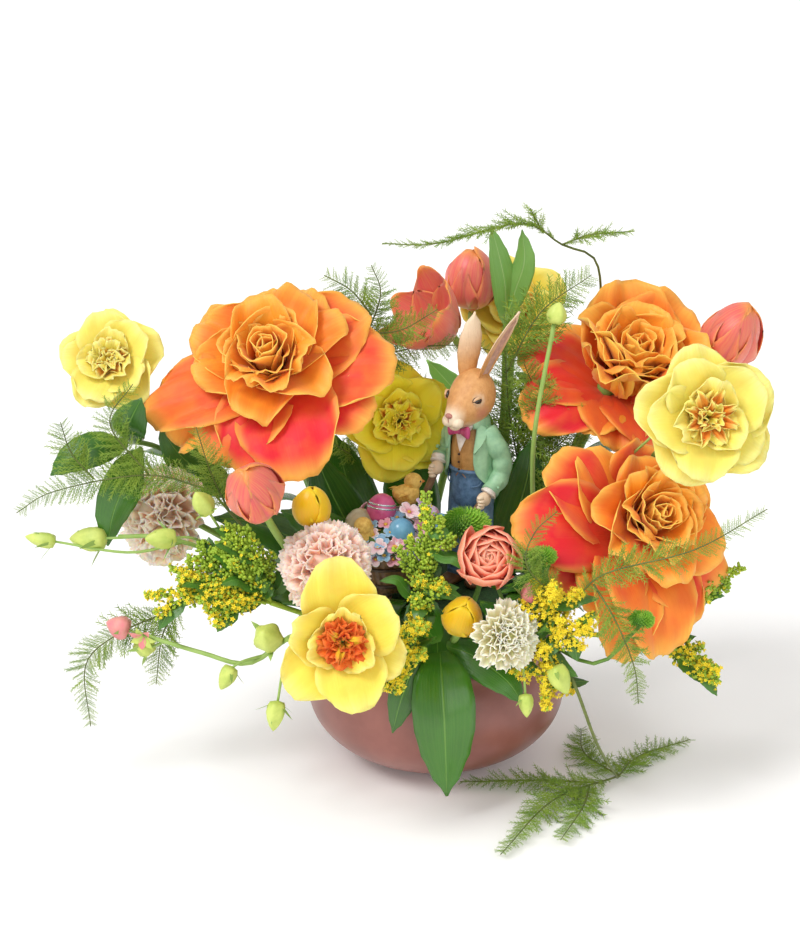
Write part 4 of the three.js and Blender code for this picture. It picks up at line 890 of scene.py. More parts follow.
# ----------
# Lisianthus: one fringed cream double bloom, and sprays of long pale green buds on wiry stalks,
# with one pink bud and a spent calyx. The ranunculus buds stand on tall bare stalks of their own.
# ----------
CREAM_PETAL = petal_material(
    "cream_petal", "fbf2ca", "e9e69c", "dfe28e", "fffbe8", claw_reach=0.45, rim_width=0.3, veins=0.1,
)
where = seat((41, -124, 140), (15, 20))
bloom = start_mesh()
dice = random.Random(130)
petals = 34
for k in range(petals):
    f = k / (petals - 1)
    petal(
        bloom, where, k * SPIRAL_ANGLE, 23 * (0.7 + 0.3 * f), 16, (4 + 70 * f, 4 + 66 * f), FAN_OUTLINE,
        root=1 + 2 * f, lift=6 * (1 - f), cup=14, ripple=2.2, waves=2.4, twist=dice.uniform(-0.3, 0.3),
        fringe=0.07, teeth=9, across=16, rows=8, heat=dice.uniform(0, 0.5) * (1 - f), chance=dice.random(),
    )
ball(bloom, where @ Vector((0, 0, 8)), (8, 8, 8), heat=1.0)
settle(bloom, "lisianthus_bloom", [CREAM_PETAL], "lisianthus", 0.35)
flower_stem("lisianthus", mouth(22, 102), where, 4, 14, 1.6, PALE_STALK)

BUD_GREEN = stalk_material("bud_green", "d2de74", "a8c050", 0.5)
BUD_PINK = stalk_material("bud_pink", "e8788a", "d9a48c", 0.5)
PINK_BUD = 15  # a bud of this length is the pink one


def bud(bm, at, towards, length, radius, slot):
    """A closed bud of five folded ridges, with a small calyx of narrow sepals."""
    way = Vector(towards).normalized()
    turn = way.to_track_quat("Z", "Y").to_matrix().to_4x4()
    turn.translation = Vector(at)

    def place(s, t):
        swell = sin(pi * min(1.0, 0.12 + 0.88 * t) ** 0.8) ** 0.75 if 0 < t < 1 else 0.0
        angle = s * pi + 1.4 * t
        ridge = 1 + 0.1 * cos(5 * angle)
        width = radius * swell * ridge * 0.86
        return turn @ Vector((width * cos(angle), width * sin(angle), -2 + (length + 2) * t))

    sheet(bm, place, 20, 14, 0.2, 0.3, slot, 1e-3)
    for k in range(5):
        petal(
            bm, turn, 72 * k, length * 0.85, radius * 0.36, (44, -4 if k % 2 else 64), STRAP_OUTLINE,
            root=radius * 0.2, lift=-1.5, late=0.5, rows=6, across=2, slot=1,
        )


def bud_spray(name, hole, trunk, branches):
    bm = start_mesh()
    hole = mouth(*hole)
    tube(bm, [foot_of(hole), hole, *trunk], lambda t: 1.9 - 0.45 * t, 8, 30, slot=1)
    for points, length, size, droop in branches:
        line = tube(bm, points, lambda t: 1.1 - 0.25 * t, 8, 14, slot=1)
        way = (line[-1] - line[-3]).normalized() - Vector((0, 0, droop))
        bud(bm, points[-1], way, length, size, 2 if length == PINK_BUD else 0)
    if name == "lisianthus_spray_low":
        spent = seat(trunk[-1], (-20, -20))
        for k in range(7):
            petal(
                bm, spent, 51.4 * k, 10.5, 5.4, (40, 92), STRAP_OUTLINE, root=1, cup=5, rows=6, across=4,
                slot=k % 2 * 2,
            )
    settle(bm, f"{name}_twigs", [BUD_GREEN, PALE_STALK, BUD_PINK], name)


BUD_SPRAYS = (
    (
        "ranunculus_buds", (86, 121), ((66, -14, 160), (64, -30, 240), (76, -26, 320)),
        (
            (((75, -27, 308), (76, -26, 316), (77, -26, 322)), 13, 7.5, 0),
            (((66, -12, 150), (94, -20, 192), (150, -30, 252), (166, -16, 288)), 12, 7, 0),
        ),
    ),
    (
        "lisianthus_spray_high", (-80, 99), ((-120, -40, 150), (-176, -56, 180), (-212, -54, 181)),
        (
            (((-205, -55, 181), (-214, -54, 180), (-222, -52, 179)), 25, 9.5, 0),
            (((-170, -55, 177), (-205, -60, 172), (-256, -50, 176)), 20, 6, 0),
            (((-140, -47, 163), (-160, -66, 184), (-174, -74, 188)), 20, 8, 0),
            (((-120, -40, 150), (-138, -72, 186), (-150, -86, 212)), 18, 8, 0),
        ),
    ),
    (
        "lisianthus_spray_low", (-56, 101),
        ((-92, -84, 124), (-124, -96, 108), (-156, -84, 110), (-196, -64, 114)),
        (
            (((-190, -66, 114), (-200, -63, 115), (-208, -61, 117)), 15, 9, 0),
            (((-180, -70, 113), (-190, -64, 106), (-194, -60, 104)), 17, 8, 0),
            (((-98, -88, 121), (-106, -104, 126), (-109, -113, 132)), 20, 11, 0),
            (((-112, -93, 113), (-128, -102, 112), (-136, -105, 108)), 16, 6.5, 1.2),
            (((-92, -84, 124), (-100, -112, 116), (-105, -120, 90)), 19, 7, 0),
        ),
    ),
    (
        "lisianthus_spray_front", (29, 104), ((46, -92, 124), (54, -108, 132)),
        (
            (((50, -100, 128), (66, -122, 134), (75, -130, 120)), 19, 8, 0),
            (((48, -96, 126), (54, -126, 122), (56, -135, 102)), 14, 5.5, 0),
            (((52, -104, 130), (57, -112, 150), (58, -116, 162)), 15, 6.5, 0),
        ),
    ),
)
for name, hole, trunk, branches in BUD_SPRAYS:
    bud_spray(name, hole, trunk, branches)


# ----------
# Button chrysanthemums: three green cushions of hundreds of short quills, on one branching stem
# that goes into the foam as a flower's does.
# ----------
QUILL_GREEN = petal_material(
    "button_quill", "7ab62a", "4c8a18", "2f6a10", "b2da4c", claw_reach=0.5, rim_width=0.3, glow=0.1,
)
GOLDEN_TURN = 2.39996  # radians, spreads things evenly over a round form


def template(build):
    """A small mesh made once, to be copied many times."""
    bm = start_mesh()
    build(bm)
    mesh = bpy.data.meshes.new("template")
    bm.to_mesh(mesh)
    bm.free()
    return mesh


def scatter(bm, mesh, wheres):
    """Adds a copy of a template at each place."""
    for where in wheres:
        copy = mesh.copy()
        copy.transform(where)
        bm.from_mesh(copy)
        bpy.data.meshes.remove(copy)


def aimed(at, way, size):
    """The place of a copy whose +Z points along `way`."""
    turn = Vector(way).to_track_quat("Z", "Y").to_matrix().to_4x4()
    return Matrix.Translation(at) @ turn @ Matrix.Diagonal((*size, 1.0))


def quill(bm):
    petal(
        bm, Matrix.Identity(4), 0, 1.0, 0.34, (0, 34), STRAP_OUTLINE, root=0, cup=0.2, across=3, rows=4,
        heat=0.2,
    )


BUTTON_FORK = (45, -84, 140)
BUTTON_HEADS = (
    # centre, bend of its shoot, radius, quills
    ((18, -80, 199), (36, -84, 164), 17, 420),
    ((67, -101, 186), (60, -92, 160), 10, 260),
    ((128, -147, 161), (98, -128, 122), 9, 240),
)
buttons = start_mesh()
hole = mouth(31, 117)
tube(buttons, [foot_of(hole), hole, BUTTON_FORK], lambda t: 1.8, 8, 12, slot=1)
quill_mesh = template(quill)
dice = random.Random(140)
for centre, bend, radius, count in BUTTON_HEADS:
    centre = Vector(centre)
    tube(buttons, [BUTTON_FORK, bend, centre - Vector((0, 0, radius * 0.4))], lambda t: 1.3, 8, 12, slot=1)
    ball(buttons, centre, (radius * 0.62, radius * 0.62, radius * 0.46), heat=0.8)
    spots = []
    for k in range(count):
        height = 1 - 1.75 * (k + 0.5) / count
        around = k * GOLDEN_TURN
        flat = sqrt(max(0.0, 1 - height * height))
        way = Vector((flat * cos(around), flat * sin(around), height))
        size = radius * (0.34 + 0.16 * (1 - abs(height))) * dice.uniform(0.85, 1.1)
        spots.append(
            aimed(centre + Vector((way.x, way.y, way.z * 0.74)) * radius * 0.56, way, (size,) * 3)
        )
    scatter(buttons, quill_mesh, spots)
settle(buttons, "button_heads", [QUILL_GREEN, GREEN_STALK], "button_spray")


# ----------
# Goldenrod: arching plumes set all round with tiny yellow florets and green buds, on a stem with
# narrow leaves.
# ----------
def leaf_material(name, colour, shade, vein, roughness):
    """Leaf finish: the veins of a petal, with a lighter midrib sunk a little into the blade."""
    material = finish(
        name, colour, roughness, coat_weight=0.3, coat_roughness=0.2, subsurface_weight=0.1,
        subsurface_radius=(0.5, 1.0, 0.2), subsurface_scale=0.001,
    )
    tree = material.node_tree
    values = {"Claw Reach": 0.2, "Rim Width": 0.05, "Veins": 0.16}
    values.update({"Cool": colour, "Hot": shade, "Claw": vein, "Rim": colour})
    tones = placed(material, PETAL_TONES, values)
    tone = wire(tree, "Attribute", attribute_name="tone").outputs["Color"]
    side = wire(tree, "SeparateColor", {0: tone}).outputs[1]
    rib = ramp(tree, side, 0.05, 0.0, kind="SMOOTHSTEP")
    groove = reckon(tree, "SUBTRACT", tones["Height"], rib)
    coat(material, blend(tree, rib, tones["Colour"], ink(vein)), groove, 0.5, 0.0006)
    return material


LEAF_OUTLINE = (0.08, 0.58, 0.9, 1.0, 0.97, 0.82, 0.52, 0.04)


def leaf(bm, spine, width, face, dice, slot=0):
    rows = 20
    line = spline(spine, rows + 1)
    face = Vector(face)
    wave = dice.uniform(0, WAVE)

    def place(s, t):
        at = min(round(t * rows), rows)
        way = (line[min(at + 1, rows)] - line[max(at - 1, 0)]).normalized()
        side = face.cross(way).normalized()
        out = way.cross(side).normalized()
        half = width / 2 * along(LEAF_OUTLINE, t)
        rise = -0.22 * abs(s) * half + 0.05 * half * sin(7 * t + 2.5 * s + wave)
        return line[at] + side * s * half + out * rise

    sheet(bm, place, 10, rows, dice.uniform(0, 0.8), dice.random(), slot)


SMALL_LEAF = leaf_material("goldenrod_leaf", "4c8426", "2f5f18", "7aa848", 0.45)
FLORET_YELLOW = petal_material(
    "goldenrod_floret", "fae11a", "f6d010", "e8c210", "ffec40", claw_reach=0.4, veins=0.1, glow=0.1,
)
BUDLET_GREEN = stalk_material("goldenrod_budlet", "acc83a", "7da02c", 0.6)


def floret(bm):
    for k in range(5):
        petal(
            bm, Matrix.Identity(4), 72 * k, 1.0, 0.55, (50, 80), STRAP_OUTLINE, root=0.1, across=1, rows=2,
        )
    bmesh.ops.create_cone(
        bm, segments=4, radius1=0.3, radius2=0.12, depth=0.7, matrix=Matrix.Translation((0, 0, 0.2)),
    )


def budlet(bm):
    made = bmesh.ops.create_icosphere(bm, subdivisions=1, radius=1.0)["verts"]
    bmesh.ops.scale(bm, vec=(0.62, 0.62, 0.85), verts=made)
    for face in bm.faces:
        face.material_index = 1
        face.smooth = True


floret_mesh = template(floret)
budlet_mesh = template(budlet)
FLORETS_PER_MM = 3.9


def plume(bm, points, open_share, dice):
    """One arching plume: florets and buds crowded all round its stem, out to a short reach."""
    steps = 59
    line = spline(points, steps + 1)
    length = sum((b - a).length for a, b in zip(line, line[1:]))
    tube(bm, points, lambda t: 1.1 - 0.6 * t, 6, 20, slot=1)
    florets, buds = [], []
    for k in range(int(length * FLORETS_PER_MM)):
        t = 0.14 + 0.86 * dice.random() ** 0.8
        at = min(int(t * steps), steps - 1)
        way = (line[at + 1] - line[at]).normalized()
        aside = way.orthogonal().normalized()
        aside.rotate(Matrix.Rotation(dice.uniform(0, 2 * pi), 3, way))
        reach = (9.5 * (1 - 0.7 * t) + 0.5) * dice.uniform(0.2, 1.0)
        spot = line[at] + aside * reach + way * reach * 0.5
        out = (aside + way * 0.9 + Vector((0, 0, 0.3))).normalized()
        if dice.random() < open_share:
            size = dice.uniform(1.4, 2.2)
            florets.append(aimed(spot, out, (size, size, size)))
        else:
            size = dice.uniform(1.3, 2.1)
            buds.append(aimed(spot, out, (size, size, size)))
    scatter(bm, floret_mesh, florets)
    scatter(bm, budlet_mesh, buds)


GOLDENRODS = (
    # name, hole, where it divides, tips of its plumes, share of open florets
    (
        "goldenrod_left", (-48, 107), (-110, -84, 146),
        (
            (-164, -80, 176), (-192, -86, 152), (-150, -104, 146), (-126, -84, 200), (-144, -82, 188),
            (-176, -78, 168),
        ),
        0.4,
    ),
    ("goldenrod_centre", (-11, 114), (-8, -98, 150), ((-14, -110, 174), (-8, -92, 226)), 0.25),
    ("goldenrod_front", (-15, 104), (-14, -100, 130), ((-12, -132, 148), (-27, -134, 104)), 0.45),
    ("goldenrod_right", (34, 101), (66, -116, 138), ((74, -134, 180), (98, -138, 148), (70, -134, 92)), 0.9),
    ("goldenrod_far_right", (66, 101), (132, -44, 104), ((204, -50, 158), (188, -80, 94)), 0.3),
)
for number, (name, hole, hub, tips, open_share) in enumerate(GOLDENRODS):
    dice = random.Random(150 + number)
    spray = start_mesh()
    hole = mouth(*hole)
    hub = Vector(hub)
    tube(spray, [foot_of(hole), hole, hub], lambda t: 1.8, 8, 16, slot=1)
    for tip in tips:
        tip = Vector(tip)
        green = open_share < 0.8 and tip.z > hub.z + 24
        share = open_share * 0.2 if green else min(1.5 * open_share, 0.95)
        plume(spray, [hub, hub.lerp(tip, 0.5) + Vector((0, 0, 5)), tip], share, dice)
        for k in range(5):
            side = Vector((dice.uniform(-16, 16), dice.uniform(-9, 6), dice.uniform(-9, 13)))
            start = hub.lerp(tip, 0.08 + 0.15 * k)
            plume(
                spray, [start, start.lerp(tip, 0.25) + side * 0.6, start.lerp(tip, 0.42) + side * 1.3],
                share, dice,
            )
            spine = [start, start + side * 0.7, start + side * 1.3 + (tip - start) * 0.12]
            leaf(spray, [*spine, spine[-1] + side * 0.8 - Vector((0, 0, 3))], 11, (0, -0.5, 1), dice, 2)
    settle(spray, f"{name}_plumes", [FLORET_YELLOW, BUDLET_GREEN, SMALL_LEAF], name)


# ----------
# Broad leaves: glossy ruscus leaves on green stems, short ones over the bowl's rim, and tulip
# leaves at the back. A leaf is a thin arched blade, folded a little along its midrib, with fine
# lengthwise veins.
# ----------
RUSCUS_GREEN = leaf_material("ruscus_leaf", "3c7718", "1c4a0c", "6a9a36", 0.24)
TULIP_GREEN = leaf_material("tulip_leaf", "7fb552", "5c9a3c", "a8cc80", 0.42)
LEAFY_STEMS = (
    # name, hole, stem, thickness, leaves: spine, width, the way the upper face looks
    (
        "ruscus_front", (1, 103), ((1, -84, 116),), 2.0,
        (
            (((1, -80, 114), (2, -104, 108), (4, -120, 78), (6, -119, 22)), 42, (0, -1, 0.3)),
            (((1, -80, 114), (-14, -96, 108), (-24, -108, 88), (-30, -106, 62)), 22, (-0.3, -1, 0.3)),
            (((1, -82, 115), (-8, -96, 134), (-10, -104, 152), (-8, -106, 166)), 26, (0.2, -1, -0.2)),
            (((1, -82, 115), (22, -92, 112), (44, -104, 100), (56, -108, 84)), 26, (0.3, -1, 0.5)),
            (((-30, -20, 124), (-62, -34, 164), (-84, -44, 186), (-104, -50, 198)), 34, (0.3, -1, 0.4)),
            (((-36, -34, 124), (-70, -60, 146), (-100, -74, 154), (-130, -76, 150)), 32, (0, -1, 0.8)),
            (((40, -10, 124), (54, 4, 168), (62, 10, 200), (64, 6, 228)), 36, (0.2, -1, 0.2)),
            (((44, -30, 122), (72, -46, 142), (98, -56, 146), (122, -60, 140)), 32, (0, -1, 0.8)),
        ),
    ),
    (
        "ruscus_left", (-97, 109), ((-124, 24, 170), (-184, 6, 220), (-214, -28, 240)), 2.0,
        (
            (((-204, -26, 236), (-206, -42, 250), (-200, -48, 264), (-194, -48, 276)), 26, (-0.3, -1, 0.2)),
            (((-206, -28, 236), (-224, -42, 240), (-242, -48, 234), (-256, -48, 222)), 24, (0, -1, 0.6)),
            (((-198, -20, 232), (-208, -48, 214), (-216, -50, 194), (-220, -48, 172)), 28, (0.3, -1, 0.2)),
            (((-150, 16, 196), (-170, 14, 212), (-190, 28, 214), (-206, 38, 208)), 26, (0, 0.3, 1)),
            (((-34, 0, 124), (-60, 4, 166), (-74, 2, 196), (-82, -6, 222)), 36, (0.2, -1, 0.2)),
            (((-44, 0, 122), (-88, -8, 156), (-124, -16, 176), (-152, -22, 182)), 32, (0, -1, 0.9)),
            (((-136, 20, 182), (-160, 0, 206), (-176, -10, 226), (-186, -14, 246)), 26, (0.2, -1, 0.3)),
        ),
    ),
    (
        "ruscus_back_left", (-140, 102), ((-84, 84, 150), (-104, 96, 206), (-112, 92, 250)), 2.0,
        (
            (((-60, 64, 124), (-92, 78, 122), (-116, 92, 106), (-130, 100, 84)), 30, (0, 0.4, 1)),
            (((-84, 84, 150), (-106, 104, 152), (-124, 118, 144), (-138, 126, 128)), 28, (0, 0.5, 1)),
            (((-98, 92, 184), (-122, 90, 200), (-142, 88, 208), (-160, 84, 208)), 28, (0.2, 0.6, 1)),
            (((-104, 96, 206), (-92, 112, 226), (-78, 122, 240), (-66, 128, 246)), 26, (0, 1, 0.6)),
            (((-112, 92, 250), (-116, 90, 266), (-116, 86, 284), (-112, 82, 298)), 26, (0, 1, 0.2)),
            (((-10, 40, 124), (-15, 46, 160), (-20, 48, 190), (-30, 46, 216)), 40, (0.1, -1, 0.2)),
            (((-34, 36, 124), (-54, 46, 160), (-64, 50, 190), (-70, 50, 216)), 38, (0.2, -1, 0.2)),
            (((-60, 64, 124), (-52, 92, 130), (-44, 112, 122), (-40, 126, 104)), 28, (0, 0.5, 1)),
        ),
    ),
    (
        "ruscus_back_right", (140, 102), ((80, 88, 148), (104, 104, 200), (120, 106, 240)), 2.0,
        (
            (((56, 62, 122), (88, 74, 120), (114, 86, 104), (128, 92, 82)), 30, (0, 0.4, 1)),
            (((80, 88, 148), (92, 112, 152), (102, 128, 144), (108, 138, 128)), 28, (0, 0.5, 1)),
            (((94, 98, 178), (118, 98, 192), (138, 94, 198), (156, 88, 196)), 28, (0.2, 0.6, 1)),
            (((104, 104, 200), (88, 118, 218), (72, 126, 230), (58, 130, 236)), 26, (0, 1, 0.6)),
            (((120, 106, 240), (126, 104, 256), (128, 100, 272), (126, 96, 286)), 26, (0, 1, 0.2)),
            (((56, 62, 122), (34, 88, 130), (20, 106, 122), (12, 118, 104)), 28, (0, 0.5, 1)),
        ),
    ),
    (
        "tulip_leaves", (158, 104), ((46, 84, 200), (48, 62, 296)), 2.2,
        (
            (((48, 62, 290), (47, 58, 320), (43, 56, 342), (37, 56, 364)), 17, (0.2, -1, 0)),
            (((48, 62, 294), (54, 58, 318), (60, 56, 340), (58, 56, 362)), 17, (-0.3, -1, 0)),
            (((46, 84, 190), (24, 100, 220), (6, 108, 240), (-6, 110, 252)), 26, (0, 1, 0.4)),
        ),
    ),
)
RIM_LEAVES = {
    # degrees round from the front, from the first to the last, and how many
    "ruscus_front": (-52, 62, 7),
    "ruscus_left": (-118, -66, 4),
    "ruscus_back_left": (-216, -132, 6),
    "ruscus_back_right": (78, 150, 6),
}
for number, (name, hole, stem, thick, leaves) in enumerate(LEAFY_STEMS):
    dice = random.Random(170 + number)
    greens = start_mesh()
    if name in RIM_LEAVES:
        first, last, count = RIM_LEAVES[name]
        for k in range(count):
            turn = radians(first + (last - first) * k / (count - 1) + dice.uniform(-6, 6))
            out = Vector((sin(turn), -cos(turn), 0))
            swing = Vector((out.y, -out.x, 0)) * dice.uniform(-16, 16)
            rise = dice.uniform(-12, 22)
            spine = [
                out * 48 + Vector((0, 0, 128)), out * 68 + swing * 0.3 + Vector((0, 0, 132 + 0.4 * rise)),
                out * 88 + swing * 0.7 + Vector((0, 0, 124 + rise)),
                out * 102 + swing + Vector((0, 0, 106 + rise)),
            ]
            leaf(greens, spine, dice.uniform(20, 28), (out.x * 0.3, out.y * 0.3, 1), dice)
    hole = mouth(*hole)
    tube(greens, [foot_of(hole), hole, *stem], lambda t: thick * (1.05 - 0.3 * t), 8, 28, slot=1)
    for spine, width, face in leaves:
        leaf(greens, spine, width, face, dice)
    finish_of = TULIP_GREEN if name == "tulip_leaves" else RUSCUS_GREEN
    settle(greens, f"{name}_blades", [finish_of, GREEN_STALK], name, 0.5)


# ----------
# Asparagus fern: wiry stems, and flat plumes of side sprigs, each set all round with needles as
# fine as thread.
# ----------
NEEDLE_GREEN = stalk_material("fern_needle", "94ae3c", "5f8a2a", 0.6)
WIRY_STEM = stalk_material("wiry_stem", "6f7a38", "4d5e2a", 0.6)


def sprig(bm):
    """A side sprig one unit long with its needles, even on all sides and out to its tip."""
    dice = random.Random(5)
    bmesh.ops.create_cone(
        bm, segments=3, radius1=0.022, radius2=0.008, depth=1.0, matrix=Matrix.Translation((0, 0, 0.5)),
    )
    needles = 22
    for k in range(needles):
        t = 0.06 + 0.94 * k / (needles - 1)
        around = k * GOLDEN_TURN
        way = Vector((cos(around), 0.8 * sin(around), 0.8)).normalized()
        length = 0.28 * (1 - 0.35 * t) * dice.uniform(0.7, 1.25)
        turn = way.to_track_quat("Z", "Y").to_matrix().to_4x4()
        where = Matrix.Translation((0, 0, t)) @ turn @ Matrix.Translation((0, 0, length / 2))
        bmesh.ops.create_cone(bm, segments=3, radius1=0.019, radius2=0.006, depth=length, matrix=where)


sprig_mesh = template(sprig)


BOTH = (-1, 1)  # the two sides of a piece
SPRIG_SPACING = 1.9
BARE_SHARE = 0.06  # of a plume, at its lower end


def frond(bm, points, face, reach, dice):
    steps = 89
    line = spline(points, steps + 1)
    length = sum((b - a).length for a, b in zip(line, line[1:]))
    tube(bm, points, lambda t: 0.75 - 0.4 * t, 5, 24, slot=1)
    face = Vector(face).normalized()
    spots = []
    count = int(length / SPRIG_SPACING)
    for k in range(count):
        t = BARE_SHARE + (1 - BARE_SHARE) * k / count
        at = min(int(t * steps), steps - 1)
        way = (line[at + 1] - line[at]).normalized()
        across = face.cross(way).normalized()
        out = way.cross(across)
        swell = min(1.0, 0.45 + 3 * (t - BARE_SHARE)) * (1 - 0.75 * t**1.6)
        for side in BOTH:
            tip = way * dice.uniform(0.5, 1.0) + across * side + out * dice.uniform(-0.6, 0.6)
            size = reach * swell * dice.uniform(0.6, 1.25)
            turned = aimed(line[at], tip, (max(size, 6) * 0.9,) * 2 + (size,))
            spots.append(turned @ Matrix.Rotation(dice.uniform(-0.6, 0.6), 4, "Z"))
    scatter(bm, sprig_mesh, spots)


FERNS = (
    # name, hole, stem, bare shoots, the way the plumes' upper side looks, reach, plumes
    (
        "fern_top", (134, 108), ((96, 84, 180), (112, 80, 270), (110, 55, 337), (85, 50, 353)), (),
        (0.1, 0.1, 1), 16,
        (
            ((85, 50, 353), (57, 49, 368), (0, 42, 356), (-37, 38, 357)),
            ((85, 50, 353), (104, 42, 362), (133, 40, 365)),
            ((72, 50, 361), (66, 50, 372), (63, 48, 379)),
        ),
    ),
    (
        "fern_back", (172, 108), ((-20, 92, 170), (-52, 78, 250), (-48, 34, 292)), (),
        (0.1, -1, 0.45), 17,
        (
            ((-48, 34, 292), (-38, 8, 330), (-44, 2, 352)),
            ((-44, 20, 312), (-58, 18, 330), (-76, 20, 340)),
            ((-47, 30, 296), (-24, 6, 306), (0, 0, 322)),
            ((-50, 60, 268), (-14, 30, 286), (16, 16, 292), (38, 16, 288)),
            ((-40, 84, 206), (-64, 60, 228), (-70, 46, 262)),
            ((-44, 82, 220), (-26, 60, 244), (-6, 52, 256)),
            ((-30, 90, 186), (-54, 60, 196), (-72, 40, 214)),
        ),
    ),
    (
        "fern_behind_rabbit", (104, 122), ((60, 22, 160), (56, 26, 220)), (), (0, -1, 0.4), 25,
        (
            ((58, 24, 196), (50, 28, 240), (46, 26, 290)),
            ((58, 22, 206), (70, 4, 240), (68, -6, 276)),
            ((48, 27, 270), (70, 26, 312), (104, 28, 338)),
            ((60, 22, 160), (84, 6, 196), (92, -6, 232)),
            ((58, 24, 176), (30, 34, 214), (16, 36, 246)),
            ((56, 26, 220), (66, 14, 256), (58, 4, 284)),
            ((60, 22, 150), (76, 24, 190), (78, 30, 226)),
            ((57, 25, 206), (82, 10, 222), (100, -2, 250)),
        ),
    ),
    (
        "fern_left", (-66, 108), ((-104, -60, 160), (-150, -54, 214)),
        (((-92, -58, 142), (-136, -48, 140), (-176, -42, 124)),), (0, -1, 0.4), 18,
        (
            ((-150, -54, 214), (-192, -58, 226), (-252, -62, 216), (-278, -60, 200)),
            ((-226, -60, 224), (-240, -60, 242), (-246, -62, 264)),
            ((-190, -58, 226), (-214, -60, 262), (-198, -62, 290)),
            ((-138, -56, 200), (-148, -72, 232), (-156, -84, 268)),
            ((-176, -42, 124), (-214, -46, 108), (-238, -50, 86), (-236, -54, 42)),
            ((-172, -42, 126), (-186, -38, 104), (-192, -38, 66)),
        ),
    ),
    (
        "fern_right", (50, 114), ((72, -92, 142), (88, -124, 166)), (), (-0.2, -1, 0.6), 16,
        (
            ((88, -124, 166), (106, -140, 190), (160, -150, 210), (205, -142, 234)),
            ((98, -134, 180), (112, -150, 160), (124, -152, 130), (128, -146, 102)),
            ((82, -112, 156), (56, -130, 190), (60, -128, 212), (75, -122, 225)),
        ),
    ),
    (
        "fern_on_table", (43, 103), ((76, -106, 122), (88, -132, 108), (104, -122, 62), (124, -58, 5)), (),
        (0, 0, 1), 18,
        (
            ((124, -58, 5), (142, -24, 5), (180, 2, 5)),
            ((124, -56, 5), (78, -92, 5), (40, -168, 5)),
            ((104, -70, 5), (98, -100, 5), (80, -148, 5)),
            ((114, -66, 5), (70, -62, 5), (16, -64, 5)),
            ((126, -56, 5), (104, -20, 5), (104, 20, 5)),
        ),
    ),
)
for number, (name, hole, stem, shoots, face, reach, plumes) in enumerate(FERNS):
    dice = random.Random(190 + number)
    fern = start_mesh()
    hole = mouth(*hole)
    tube(fern, [foot_of(hole), hole, *stem], lambda t: 1.5 - 0.7 * t, 7, 40, slot=1)
    for shoot in shoots:
        tube(fern, shoot, lambda t: 1.0 - 0.3 * t, 6, 16, slot=1)
    for points in plumes:
        frond(fern, points, face, reach, dice)
    for vert in fern.verts:
        vert.co.z = max(vert.co.z, 0.5)
    settle(fern, f"{name}_plumes", [NEEDLE_GREEN, WIRY_STEM], name)


# ----------
# Rabbit: a cast resin ornament painted by hand, standing on the foam and pushing a barrow. Tan fur
# with a cream muzzle, mint jacket, tan waistcoat, white collar, raspberry bow tie and blue jeans.
# ----------
RABBIT_FACES = 142  # degrees from the back, anticlockwise


def standing(at):
    """The ornament's own frame at a place on the foam: +Y is the way the rabbit faces."""
    frame_of = Matrix.Rotation(radians(RABBIT_FACES), 4, "Z")
    frame_of.translation = Vector(at)
    return frame_of


def paint(name, colour, shade, scale, roughness=0.42, bump=0.25):
    """Hand-brushed colour on resin, darker where the wash has settled."""
    material = finish(name, colour, roughness, coat_weight=0.15, coat_roughness=0.35)
    mottled(material, colour, shade, scale=scale, detail=5.0, amount=0.85, bump=bump, depth=0.0005)
    return material


def fur_paint():
    """Tan fur fading to cream by the tone's heat and to a blush by its chance, with brushed hairs."""
    material = finish("fur_paint", "d79c5c", 0.5)
    tree = material.node_tree
    tan = mottled(
        material, "dba366", "c08145", scale=260.0, detail=6.0, amount=0.7, bump=0.3, depth=0.0005,
    )
    tone = wire(tree, "Attribute", attribute_name="tone").outputs
    fading = wire(tree, "SeparateColor", {0: tone["Color"]}).outputs[2]
    cream = blend(tree, fading, tan, ink("f3e0c4"))
    blush = blend(tree, tone["Alpha"], cream, ink("cf7f72"))
    place = wire(tree, "TexCoord").outputs["Object"]
    stretched = wire(tree, "Mapping", {"Vector": place, "Scale": (900.0, 900.0, 260.0)})
    inputs = {"Vector": stretched.outputs[0], "Scale": 1.0, "Detail": 4.0}
    coat(material, blush, wire(tree, "TexNoise", inputs).outputs["Fac"], 0.55, 0.0008)
    return material


def eased(rows, t):
    """Reads a list of equal tuples at t from 0 to 1, smoothly through all of them."""
    at = min(max(t, 0.0), 1.0) * (len(rows) - 1)
    low = min(int(at), len(rows) - 2)
    u = at - low
    a, b, c, d = (rows[min(max(low + k, 0), len(rows) - 1)] for k in (-1, 0, 1, 2))
    return [
        q + 0.5 * u * (r - p + u * (2 * p - 5 * q + 4 * r - s + u * (3 * (q - r) + s - p)))
        for p, q, r, s in zip(a, b, c, d)
    ]


def loft(bm, at, stations, along_axis, sides=28, rows=30, slot=0, colour=None):
    """A closed form through oval stations along an axis of `at`.

    A station is its place on the axis, the offset of its centre and its two half widths. Where
    along_axis is "Y" the ovals lie across X and Z, and where it is "Z" across X and Y. `colour`
    gives heat and chance from a local point.
    """
    tone = bm.verts.layers.float_color["tone"]
    locals_of = {}

    def place(s, t):
        spot, shift, wide, deep = eased(stations, t)
        if t in (0, 1):
            wide = deep = 0.0
        angle = s * pi
        u, v = wide * cos(angle), shift + deep * sin(angle)
        local = Vector((u, spot, v)) if along_axis == "Y" else Vector((u, v, spot))
        there = at @ local
        locals_of[tuple(round(x, 3) for x in there)] = local
        return there

    made = sheet(bm, place, sides, rows, slot=slot)
    if colour:
        for vert in made:
            heat, chance = colour(locals_of[tuple(round(x, 3) for x in vert.co)])
            vert[tone] = (0.5, 0.0, heat, chance)
    bmesh.ops.remove_doubles(bm, verts=made, dist=1e-3)


